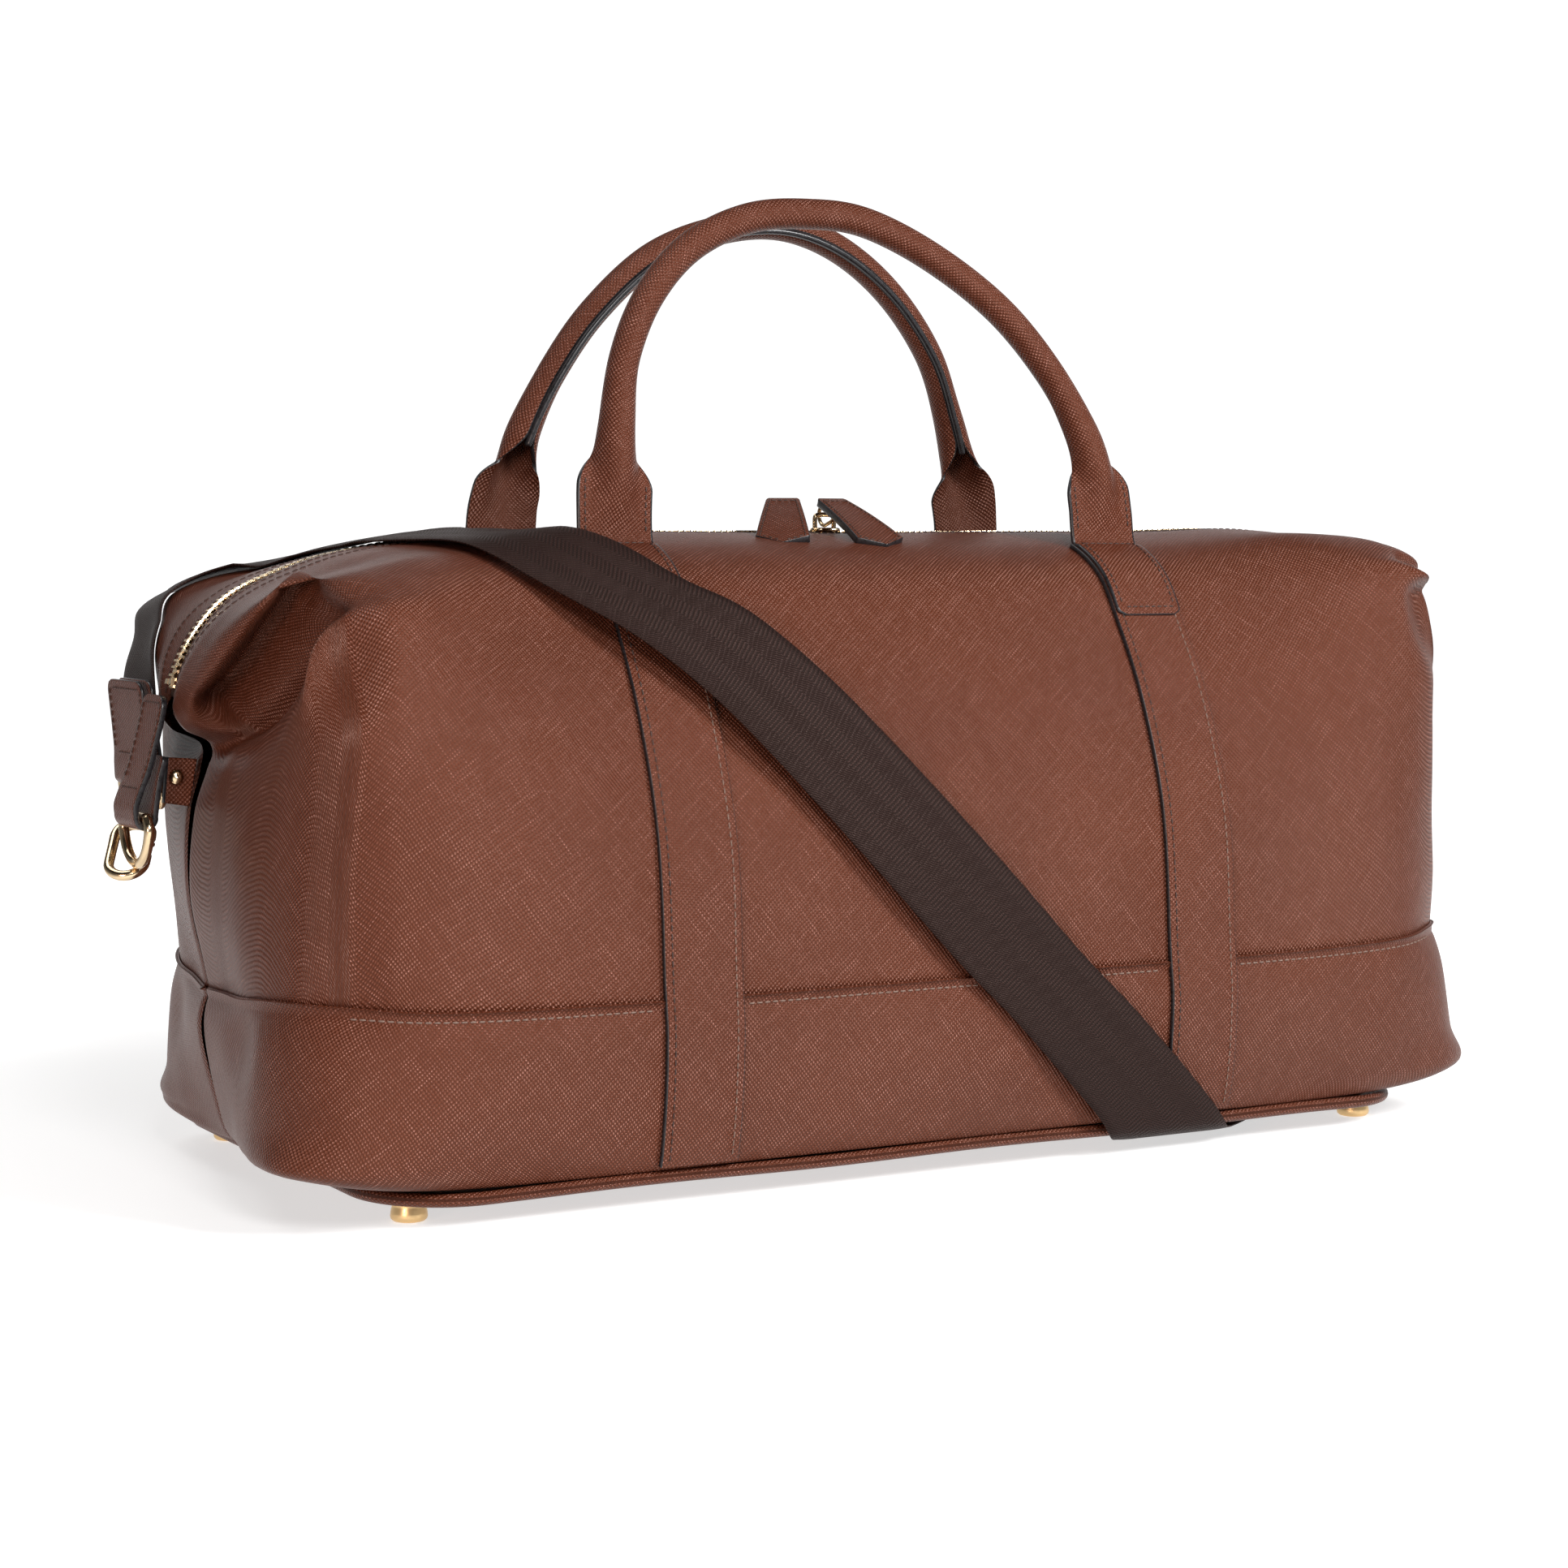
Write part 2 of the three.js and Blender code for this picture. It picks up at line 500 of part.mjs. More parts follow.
for (const [side, sy] of SIDES) {
  const tape = zipBand(sy * 0.4, sy * TAPE_WIDTH, TAPE_DEPTH, TAPE_THICKNESS, 6);
  bag.add(piece(`zip_tape_${side}`, tape, 'zipTape'));
  const chain = zipBand(sy * 0.2, sy * (0.2 + CHAIN_WIDTH), CHAIN_DEPTH, CHAIN_HEIGHT, 9.4);
  bag.add(piece(`zip_chain_${side}`, chain, 'gold'));
}

// ---------- zip sliders with their pulls ----------
const SLIDER = { length: 11, halfWidth: 4.6, roof: 1.4, x: 9.5 };
const chainTop = 238 - CHAIN_DEPTH;
const roofBottom = chainTop + GAP;
const roofTop = roofBottom + SLIDER.roof;
const crownTop = roofTop + 5.8;
function sliderSolid() {
  const half = SLIDER.length / 2;
  const roof = new THREE.BoxGeometry(SLIDER.length, 2 * SLIDER.halfWidth, SLIDER.roof);
  roof.translate(0, 0, (roofBottom + roofTop) / 2);
  const flanges = [-1, 1].map((s) => {
    const g = new THREE.BoxGeometry(SLIDER.length, 1.2, CHAIN_HEIGHT);
    g.translate(0, s * (SLIDER.halfWidth - 0.6), roofBottom - CHAIN_HEIGHT / 2 + 0.2);
    return g;
  });
  const crown = bar([
    vec(-half + 1.2, 0, roofTop - 0.8), vec(-half + 1.2, 0, crownTop - 1.4),
    vec(-half + 2.2, 0, crownTop - 0.6),
    vec(half - 2.2, 0, crownTop - 0.6),
    vec(half - 1.2, 0, crownTop - 1.4), vec(half - 1.2, 0, roofTop - 0.8),
  ], 0.9, 8);
  return join(roof, ...flanges, crown);
}
// Oval link in the plane of its own run, reaching from the crown out to the fob.
const LINK = { wire: 0.7, reach: 12.8, half: 4.2, tilt: -0.3 };
function linkSolid() {
  const r = LINK.half;
  const points = range(16).map((k) => {
    const a = (k * 2 * Math.PI) / 16;
    const shift = Math.cos(a) > 0 ? 0 : -(LINK.reach - r * 2);
    return vec(0, r * Math.cos(a) + shift, r * Math.sin(a));
  });
  return bar(points, LINK.wire, 6, true);
}
const FOB = { length: 46, topHalf: 6.5, footHalf: 10.5, point: 5.5, thickness: 2.2, hole: 2.9, holeDrop: 3.8 };
function fobSolid() {
  const shape = new THREE.Shape([
    [-FOB.topHalf, 0], [FOB.topHalf, 0], [FOB.footHalf, -(FOB.length - FOB.point)], [0, -FOB.length],
    [-FOB.footHalf, -(FOB.length - FOB.point)],
  ].map(([x, y]) => new THREE.Vector2(x, y)));
  const hole = new THREE.Path();
  hole.absarc(0, -FOB.holeDrop, FOB.hole, 0, 2 * Math.PI);
  shape.holes.push(hole);
  const g = new THREE.ExtrudeGeometry(shape, { depth: FOB.thickness, bevelEnabled: false, curveSegments: 8 });
  g.translate(0, 0, -FOB.thickness / 2);
  return g;
}
const PULLS = [['left', -1, -0.52, 0.27], ['right', 1, 0, 0.3]];   // name, side, turn, droop
for (const [side, sx, turn, droop] of PULLS) {
  const slider = piece(`zip_slider_${side}`, sliderSolid(), 'gold');
  slider.position.x = sx * SLIDER.x;
  bag.add(slider);
  const pull = new THREE.Group();
  pull.position.set(sx * SLIDER.x, 0, crownTop - 0.6);
  pull.rotation.z = turn;
  const link = piece(`zip_pull_link_${side}`, linkSolid(), 'gold');
  link.rotation.x = LINK.tilt;
  const fob = piece(`zip_pull_fob_${side}`, fobSolid(), 'leather');
  const end = LINK.reach - LINK.half;
  fob.position.set(0, FOB.holeDrop * Math.cos(droop) - end * Math.cos(LINK.tilt) + 0.3,
    FOB.holeDrop * Math.sin(droop) - end * Math.sin(LINK.tilt));
  fob.rotation.x = droop;
  pull.add(link, fob);
  bag.add(pull);
}

// ---------- zip ends: folded leather tab, D-ring and seam tab ----------
// These pieces are drawn for the right end with x outward; mirror() places them on either end.
const RING_PIVOT = [274.8, 136.5];
const endLift = { left: 0, right: 11.1 };
function arc(cx, cz, r, from, to, steps) {
  return range(steps + 1).map((k) => {
    const a = lerp(from, to, k / steps);
    return [cx + r * Math.cos(a), cz + r * Math.sin(a)];
  });
}
function foldedTab() {
  const [cx, cz] = RING_PIVOT;
  const outer = [[268.9, 178], [272.6, 160], ...arc(cx, cz, 4.6, 0.2, -Math.PI - 0.1, 8), [265.6, 158]];
  const inner = [[266.8, 178], [270.4, 160], ...arc(cx, cz, 2.4, 0.35, -Math.PI - 0.4, 8), [267.6, 158.6]];
  return bentStrip(outer, inner, -TAB_WIDTH / 2, TAB_WIDTH / 2);
}
function ringPath() {
  const { halfWidth, height } = RING;
  const [x, z] = RING_PIVOT;
  const top = [-halfWidth + 2, -halfWidth / 3, halfWidth / 3, halfWidth - 2].map((y) => vec(x, y, z));
  const bow = range(9).map((k) => {
    const a = (k * Math.PI) / 8;
    return vec(x, halfWidth * Math.cos(a), z - 2 - (height - 2) * Math.sin(a));
  });
  return [...top, ...bow];
}

// A short tab sewn into the end seam behind the folded one, with a stud through it.
const SEAM_TAB = { half: 1.5, studX: 260.4, studZ: 150 };
const SEAM_TAB_OUTLINE = [[255.6, 139.5], [264.8, 141], [263.2, 157], [252.4, 156]];
const lying = (g) => g.rotateX(Math.PI / 2);
function seamTab() {
  const { half, studX, studZ } = SEAM_TAB;
  const plateSolid = slabXZ(SEAM_TAB_OUTLINE, -half, half);
  const hole = lying(post(0, 0, -half - 1, half + 1, 1.1 + GAP)).translate(studX, 0, studZ);
  return cut(plateSolid, hole);
}
function seamStud() {
  const reach = SEAM_TAB.half + GAP;
  const profile = [[0, -reach - 1.6], [2, -reach - 1.2], [2.6, -reach], [1.1, -reach], [1.1, reach], [2.6, reach],
    [2, reach + 1.2], [0, reach + 1.6]];
  const g = new THREE.LatheGeometry(profile.map(([r, y]) => new THREE.Vector2(r, y)), 10);
  return g.translate(SEAM_TAB.studX, 0, SEAM_TAB.studZ);
}

// ---------- strap hooks ----------
// Drawn along +Z from the eye's lower bar towards the ring: neck, hook with a gap, sprung gate.
const HOOK = { neck: 10.5, halfLength: 13.2, halfWidth: 6.6, wire: 1.9, gate: 1.3, mouth: 3.4 };
const EYE = { halfWidth: 21.4, height: 9, wire: 1.8 };
const HOOK_TURN = { left: -0.5, right: 0 };
const hookMiddle = HOOK.neck + 1 + HOOK.halfLength;
function hookSolid() {
  const straight = HOOK.halfLength - HOOK.halfWidth;
  const round = (from, to, zc) => range(7).map((k) => {
    const a = lerp(from, to, k / 6);
    return vec(HOOK.halfWidth * Math.cos(a), 0, hookMiddle + zc + HOOK.halfWidth * Math.sin(a));
  });
  const path = [vec(HOOK.halfWidth, 0, hookMiddle - straight + 1.5),
    ...round(0, -Math.PI, -straight), ...round(Math.PI, 0, straight),
    vec(HOOK.halfWidth, 0, hookMiddle + HOOK.mouth)];
  const neck = new THREE.CylinderGeometry(2.4, 2.4, HOOK.neck - 2.8, 10);
  neck.rotateX(Math.PI / 2);
  neck.translate(0, 0, 3.9 + (HOOK.neck - 2.8) / 2);
  return join(bar(path, HOOK.wire, 8), neck);
}
function gateSolid() {
  const start = hookMiddle - (HOOK.halfLength - HOOK.halfWidth) + 1.5 + GAP;
  const end = hookMiddle + HOOK.mouth - GAP;
  return bar([vec(HOOK.halfWidth, 0, start), vec(HOOK.halfWidth, 0, end)], HOOK.gate, 8);
}
function eyeSolid() {
  const half = EYE.height / 2;
  const path = roundedRectangle(EYE.halfWidth, half, 3, 0, 3).map((p) => vec(0, p.x, p.y - half));
  return bar(path, EYE.wire, 8, true);
}
// Leather end of the strap, folded round the eye's upper bar, with x across its thickness.
const STRAP_END = { left: 36, right: 16, layer: 1.4 };
function strapEndLeather(length) {
  const hug = EYE.wire + GAP;
  const out = hug + STRAP_END.layer;
  const inner = WEBBING.thickness / 2 + GAP;
  const outer = inner + STRAP_END.layer;
  return bentStrip(
    [[-outer, length], [-outer, 7], ...arc(0, 0, out, -Math.PI, 0, 6), [outer, 7], [outer, length]],
    [[-inner, length], [-inner, 6], ...arc(0, 0, hug, -Math.PI, 0, 6), [inner, 6], [inner, length]],
    -WEBBING.width / 2,
    WEBBING.width / 2,
  );
}
const STRAP_ENDS = {
  left: { eye: [-262.5, 31.5, 148], lean: -0.1, aim: [-274.8, 11, 119] },
  right: { eye: [274.8, 0, 88.5], lean: 0, aim: [274.8, 0, 131] },
};

for (const [end, sx] of ENDS) {
  const lift = endLift[end];
  const mirror = (g) => {
    const p = g.attributes.position;
    const points = range(p.count).map((i) => vec(sx * p.getX(i), p.getY(i), p.getZ(i) + lift));
    const index = Array.from(g.index.array);
    return geometry(points, range(index.length / 3).map((k) => index.slice(3 * k, 3 * k + 3)));
  };
  bag.add(piece(`zip_end_tab_${end}`, mirror(foldedTab()), 'leather'));
  bag.add(piece(`zip_end_ring_${end}`, mirror(bar(ringPath(), RING.wire, 8, true)), 'gold'));

  bag.add(piece(`seam_tab_${end}`, mirror(seamTab()), 'leather'));
  bag.add(piece(`seam_stud_${end}`, mirror(seamStud()), 'gold'));

  const { eye, lean, aim } = STRAP_ENDS[end];
  const top = end === 'left' ? 1 : -1;
  const cap = new THREE.Group();
  cap.position.set(...eye);
  cap.rotation.set(top < 0 ? Math.PI : 0, top * lean, 0);
  cap.add(piece(`strap_end_${end}`, strapEndLeather(STRAP_END[end]), 'leather'));
  cap.add(piece(`strap_eye_${end}`, eyeSolid(), 'gold'));
  bag.add(cap);

  const hook = new THREE.Group();
  const start = vec(eye[0], eye[1], eye[2] - top * EYE.height);
  hook.position.copy(start);
  hook.quaternion.setFromUnitVectors(vec(0, 0, 1), at(aim).sub(start).normalize());
  hook.rotateZ(HOOK_TURN[end]);
  hook.add(piece(`strap_hook_${end}`, hookSolid(), 'gold'));
  hook.add(piece(`strap_hook_gate_${end}`, gateSolid(), 'gold'));
  bag.add(hook);
}

// ---------- shoulder strap ----------
// Each station is the strap's lower or left edge, then its upper or right edge, from the left
// strap end over the top, across the front, under the base and up to the right strap end.
const STRAP_EDGES = [
  [[-263.05, 12.5, 153.5], [-263.05, 50.5, 153.5]],
  [[-265.3, 12.5, 176], [-265.3, 50.5, 176]],
  [[-266.6, 12.5, 189], [-266.6, 50.5, 189]],
  [[-263.5, 17, 199.5], [-262.5, 55, 198.5]],
  [[-254, 21, 211.5], [-251, 59, 210]],
  [[-240, 24, 220.5], [-236, 62, 218.5]],
  [[-221, 25, 228], [-212, 62, 225.5]],
  [[-203, 19, 233], [-183, 51, 231.4]],
  [[-192, 5, 238], [-160, 26, 239.4]],
  [[-185, -18, 239.2], [-148, -8, 241]],
  [[-177, -40, 236.4], [-139, -33, 239.8]],
  [[-168, -64, 231], [-129, -56, 239]],
  [[-156, -78, 221.5], [-116, -69, 233]],
  [[-142, -87, 212.5], [-97, -82, 220]],
  [[-124, -94.5, 201.5], [-76, -90, 209.5]],
  [[-101, -103.5, 182.5], [-51, -101.5, 187]],
  [[-78, -111.5, 158.6], [-24.4, -111.5, 158.6]],
  [[-39, -120, 116], [15.4, -120, 116]],
  [[-3.6, -121, 79.5], [51, -121, 79.5]],
  [[18.3, -121.5, 59], [73, -121.5, 59]],
  [[40.4, -120.5, 37], [95.3, -120.5, 37]],
  [[62, -117.5, 16], [116.5, -117.5, 16]],
  [[68, -115.5, 8.5], [123, -115.5, 8.5]],
  [[74, -109.5, 5.6], [129, -109.5, 5.6]],
  [[98, -92, 5.6], [153, -94, 5.6]],
  [[138, -60, 5.6], [182, -68, 5.6]],
  [[172, -24, 5.6], [204, -46, 5.6]],
  [[202, 8, 5.6], [219, -27, 5.6]],
  [[222, 19, 5.6], [229, -19, 5.6]],
  [[240, 19, 9.5], [241, -19, 9.5]],
  [[252.5, 19, 16], [252.5, -19, 16]],
  [[257.8, 19, 25], [257.8, -19, 25]],
  [[260.6, 19, 51], [260.6, -19, 51]],
  [[264.2, 19, 57.5], [264.2, -19, 57.5]],
  [[270, 19, 62.5], [270, -19, 62.5]],
  [[274, 19, 67.5], [274, -19, 67.5]],
  [[274.8, 19, 73], [274.8, -19, 73]],
  [[274.8, 19, 84], [274.8, -19, 84]],
];
function strapSolid() {
  const middles = STRAP_EDGES.map(([a, b]) => at(a).add(at(b)).multiplyScalar(0.5));
  return loft(STRAP_EDGES.map(([a, b], i) => {
    const along = middles[Math.min(middles.length - 1, i + 1)].clone().sub(middles[Math.max(0, i - 1)]);
    const out = at(b).sub(at(a)).cross(along).normalize().multiplyScalar(WEBBING.thickness / 2);
    const [first, second] = [at(a), at(b)];
    const outer = [first.clone().add(out), second.clone().add(out)];
    return [...outer, second.clone().sub(out), first.clone().sub(out)];
  }));
}
bag.add(piece('shoulder_strap', strapSolid(), 'webbing'));

// Adjuster: a frame outside the webbing and a cross bar inside it, on the upright stretch.
const ADJUSTER = { x: 259.2, z: 38, lean: 0.107, halfWidth: 22.3, halfHeight: 8.5, wire: 1.5, step: 2.7 };
function adjusterSolid() {
  const { halfWidth, halfHeight, wire, step } = ADJUSTER;
  const frame = roundedRectangle(halfWidth, halfHeight, 3, 0, 3).map((p) => vec(step, p.x, p.y));
  const reach = halfWidth - 1.1;
  const inner = [vec(-step, -reach, 0), vec(-step, reach, 0)];
  const cross = [vec(step, -halfWidth, 0), ...inner, vec(step, halfWidth, 0)];
  return join(bar(frame, wire, 8, true), bar(cross, wire * 0.9, 8));
}
const adjuster = piece('strap_adjuster', adjusterSolid(), 'gold');
adjuster.position.set(ADJUSTER.x, 0, ADJUSTER.z);
adjuster.rotation.y = ADJUSTER.lean;
bag.add(adjuster);

export default bag;
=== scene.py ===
"""Looks of the weekender bag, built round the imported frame. Lengths here are in millimetres
until mesh() turns them into metres."""
import math

import bmesh
import bpy
import numpy as np
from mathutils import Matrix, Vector
from mathutils.bvhtree import BVHTree


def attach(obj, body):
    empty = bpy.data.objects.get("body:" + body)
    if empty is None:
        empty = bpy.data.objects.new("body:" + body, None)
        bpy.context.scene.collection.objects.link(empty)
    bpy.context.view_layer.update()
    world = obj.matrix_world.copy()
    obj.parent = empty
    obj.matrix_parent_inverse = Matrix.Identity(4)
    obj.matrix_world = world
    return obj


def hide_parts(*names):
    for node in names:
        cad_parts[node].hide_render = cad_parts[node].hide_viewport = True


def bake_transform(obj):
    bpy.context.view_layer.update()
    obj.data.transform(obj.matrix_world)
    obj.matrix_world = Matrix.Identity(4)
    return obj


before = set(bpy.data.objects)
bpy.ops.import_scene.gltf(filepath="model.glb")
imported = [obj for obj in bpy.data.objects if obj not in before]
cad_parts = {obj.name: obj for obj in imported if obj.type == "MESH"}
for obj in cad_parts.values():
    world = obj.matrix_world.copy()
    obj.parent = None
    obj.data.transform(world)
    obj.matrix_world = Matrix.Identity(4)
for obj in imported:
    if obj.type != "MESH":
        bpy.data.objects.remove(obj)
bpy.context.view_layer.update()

MM = 0.001
STRAIGHT = 130
BACK_TAPER = 0.066 / 92
FRONT_FLARE = 0.03 / 92
RIGHT_LIFT = 13
FRONT_TUCK = 0.14
SIDES = (("front", -1), ("back", 1))
ENDS = (("left", -1), ("right", 1))
END_LIFT = {"left": 0.0, "right": 11.1}


# ---------- small maths ----------
def smooth(t):
    t = np.clip(t, 0.0, 1.0)
    return t * t * (3 - 2 * t)


def unit(v):
    v = np.asarray(v, float)
    return v / np.maximum(np.linalg.norm(v, axis=-1, keepdims=True), 1e-9)


def through(points, t):
    """Smooth line through points (n, ...) at t from 0 to n - 1; t may be an array."""
    points = np.asarray(points, float)
    t = np.asarray(t, float)
    i = np.clip(np.floor(t).astype(int), 0, len(points) - 2)
    f = (t - i).reshape(t.shape + (1,) * (points.ndim - 1))
    whole = np.concatenate([2 * points[:1] - points[1:2], points, 2 * points[-1:] - points[-2:-1]])
    a, b, c, d = whole[i], whole[i + 1], whole[i + 2], whole[i + 3]
    square, cube = 2 * a - 5 * b + 4 * c - d, 3 * b - a - 3 * c + d
    return 0.5 * (2 * b + (c - a) * f + square * f**2 + cube * f**3)


def lengths(points):
    """Distance along a row of points, starting at 0."""
    steps = np.linalg.norm(np.diff(points, axis=0), axis=-1)
    return np.concatenate([[0.0], np.cumsum(steps)])


def resample(points, step):
    """The same line with even steps."""
    s = lengths(points)
    even = np.linspace(0, s[-1], max(2, int(round(s[-1] / step)) + 1))
    return np.stack([np.interp(even, s, points[:, k]) for k in range(points.shape[1])], -1)


def smooth_line(points, step):
    """An evenly stepped smooth line through a few points."""
    fine = through(points, np.linspace(0, len(points) - 1, 24 * (len(points) - 1) + 1))
    return resample(fine, step)


def nearest(values, value):
    """Index of the entry nearest to a value."""
    return int(np.argmin(np.abs(values - value)))


def evened(values, axis=0):
    """The values with each inner one drawn towards its two neighbours along an axis."""
    v = np.swapaxes(values, 0, axis).copy()
    v[1:-1] = (v[:-2] + 2 * v[1:-1] + v[2:]) / 4
    return np.swapaxes(v, 0, axis)


def slopes(points, looped=False):
    if looped:
        return unit(np.roll(points, -1, axis=0) - np.roll(points, 1, axis=0))
    return unit(np.gradient(points, axis=0))


def arc(cx, cz, r, start, end, steps):
    a = np.linspace(start, end, steps + 1)
    return np.stack([cx + r * np.cos(a), cz + r * np.sin(a)], -1)


# ---------- meshes ----------
def mesh(name, verts, faces, materials, uv=None, index=None, flat=False):
    """A Blender mesh object from millimetre vertices; uv is one pair per vertex, in metres."""
    data = bpy.data.meshes.new(name)
    verts = (np.asarray(verts, float) * MM).tolist()
    data.from_pydata(verts, [], [tuple(map(int, f)) for f in faces])
    for material in materials:
        data.materials.append(material)
    if index is not None:
        data.polygons.foreach_set("material_index", np.asarray(index, np.int32))
    if uv is not None:
        layer = data.uv_layers.new(name="UVMap")
        loops = np.empty(len(data.loops), np.int32)
        data.loops.foreach_get("vertex_index", loops)
        layer.data.foreach_set("uv", np.asarray(uv, float)[loops].ravel())
    data.polygons.foreach_set("use_smooth", np.full(len(data.polygons), not flat))
    data.update()
    obj = bpy.data.objects.new(name, data)
    bpy.context.scene.collection.objects.link(obj)
    return obj


def grid_faces(rows, cols, flip=False, looped=False):
    """Quads of a grid of points, numbered row by row; looped joins the last column to the first."""
    i, j = np.meshgrid(np.arange(rows - 1), np.arange(cols if looped else cols - 1), indexing="ij")
    k = (j + 1) % cols
    quads = np.stack([i * cols + j, (i + 1) * cols + j, (i + 1) * cols + k, i * cols + k], -1)
    quads = quads.reshape(-1, 4)
    return quads[:, ::-1] if flip else quads


def closed_faces(rows, cols):
    """Faces of a closed skin made of rings of points, with a cap at each end."""
    caps = [tuple(range(cols)), tuple(range((rows - 1) * cols, rows * cols))[::-1]]
    return [tuple(f) for f in grid_faces(rows, cols, looped=True)] + caps


def outward(obj):
    """Turns every face of a closed mesh outwards."""
    bm = bmesh.new()
    bm.from_mesh(obj.data)
    bmesh.ops.recalc_face_normals(bm, faces=bm.faces)
    bm.to_mesh(obj.data)
    bm.free()
    return obj


def join_parts(name, parts, materials, flat=False):
    """One object from (verts, faces, uv, index) parts."""
    verts, faces, uvs, index, offset = [], [], [], [], 0
    for part_verts, part_faces, part_uv, part_index in parts:
        verts.append(np.asarray(part_verts, float))
        faces += [tuple(int(v) + offset for v in f) for f in part_faces]
        uvs.append(part_uv if part_uv is not None else np.zeros((len(part_verts), 2)))
        index += list(part_index) if np.ndim(part_index) else [part_index] * len(part_faces)
        offset += len(part_verts)
    return mesh(name, np.concatenate(verts), faces, materials, np.concatenate(uvs), index, flat)


def twist_free(points, looped=False):
    """Side vectors carried along a line without twist."""
    along = slopes(points, looped)
    start = np.array([0.0, 0, 1]) if abs(along[0][2]) < 0.9 else np.array([1.0, 0, 0])
    side = [unit(np.cross(along[0], start))]
    for k in range(1, len(points)):
        carried = side[-1] - np.dot(side[-1], along[k]) * along[k]
        side.append(unit(carried))
    side = np.array(side)
    if looped:
        end = side[-1] - np.dot(side[-1], along[0]) * along[0]
        other = np.cross(along[0], side[0])
        turn = math.atan2(np.dot(end, other), np.dot(end, side[0]))
        fix = -turn * np.linspace(0, 1, len(points))[:, None]
        side = side * np.cos(fix) + np.cross(along, side) * np.sin(fix)
    return side, np.cross(along, side)


def tube(points, radius, sides=14, looped=False, squash=1.0):
    """Round bar along a line: (verts, faces, uv, 0). radius may vary along it."""
    points = np.asarray(points, float)
    radius = np.broadcast_to(np.asarray(radius, float), (len(points),)).copy()
    side, up = twist_free(points, looped)
    if not looped:
        along = slopes(points)
        extra, scale = (0.0, 0.35, 0.7), np.array([0.05, 0.75, 0.95])
        head = [points[0] - along[0] * radius[0] * (1 - k) * 0.6 for k in extra]
        tail = [points[-1] + along[-1] * radius[-1] * (1 - k) * 0.6 for k in extra][::-1]
        points = np.concatenate([head, points, tail])
        radius = np.concatenate([radius[0] * scale, radius, radius[-1] * scale[::-1]])
        side = np.concatenate([side[:1]] * 3 + [side] + [side[-1:]] * 3)
        up = np.concatenate([up[:1]] * 3 + [up] + [up[-1:]] * 3)
    a = np.arange(sides) * 2 * math.pi / sides
    ring = side[:, None] * np.cos(a)[:, None] + squash * up[:, None] * np.sin(a)[:, None]
    verts = (points[:, None] + radius[:, None, None] * ring).reshape(-1, 3)
    n = len(points)
    if looped:
        faces = [tuple(f) for f in grid_faces(n + 1, sides, looped=True) % (n * sides)]
    else:
        faces = closed_faces(n, sides)
    s = lengths(points)
    uv = np.stack([np.tile(a, n) * radius.mean() * MM, np.repeat(s, sides) * MM], -1)
    return verts, faces, uv, 0


def lathe(profile, centre, axis=(0, 0, 1), sides=40):
    """Turned piece: profile is [radius, height] pairs along axis from centre."""
    axis = unit(axis)
    ref = np.array([1.0, 0, 0]) if abs(axis[0]) < 0.9 else np.array([0, 1.0, 0])
    u = unit(np.cross(axis, ref))
    w = np.cross(axis, u)
    a = np.arange(sides) * 2 * math.pi / sides
    profile = np.asarray(profile, float)
    ring = u * np.cos(a)[:, None] + w * np.sin(a)[:, None]
    verts = np.asarray(centre) + profile[:, None, :1] * ring[None] + profile[:, None, 1:] * axis
    return verts.reshape(-1, 3), closed_faces(len(profile), sides), None, 0


def skin(rings):
    """Closed part through a stack of rings with the same number of points."""
    return np.concatenate(rings), closed_faces(len(rings), len(rings[0])), None, 0


def hide_with(obj, body, slot, *nodes):
    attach(obj, body)
    if nodes:
        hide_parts(*nodes)
    return obj


def piece(name, parts, looks, body, slot, *nodes):
    """A closed piece made of parts, facing outwards, on its body in place of the CAD nodes."""
    return hide_with(outward(join_parts(name, parts, looks)), body, slot, *nodes)


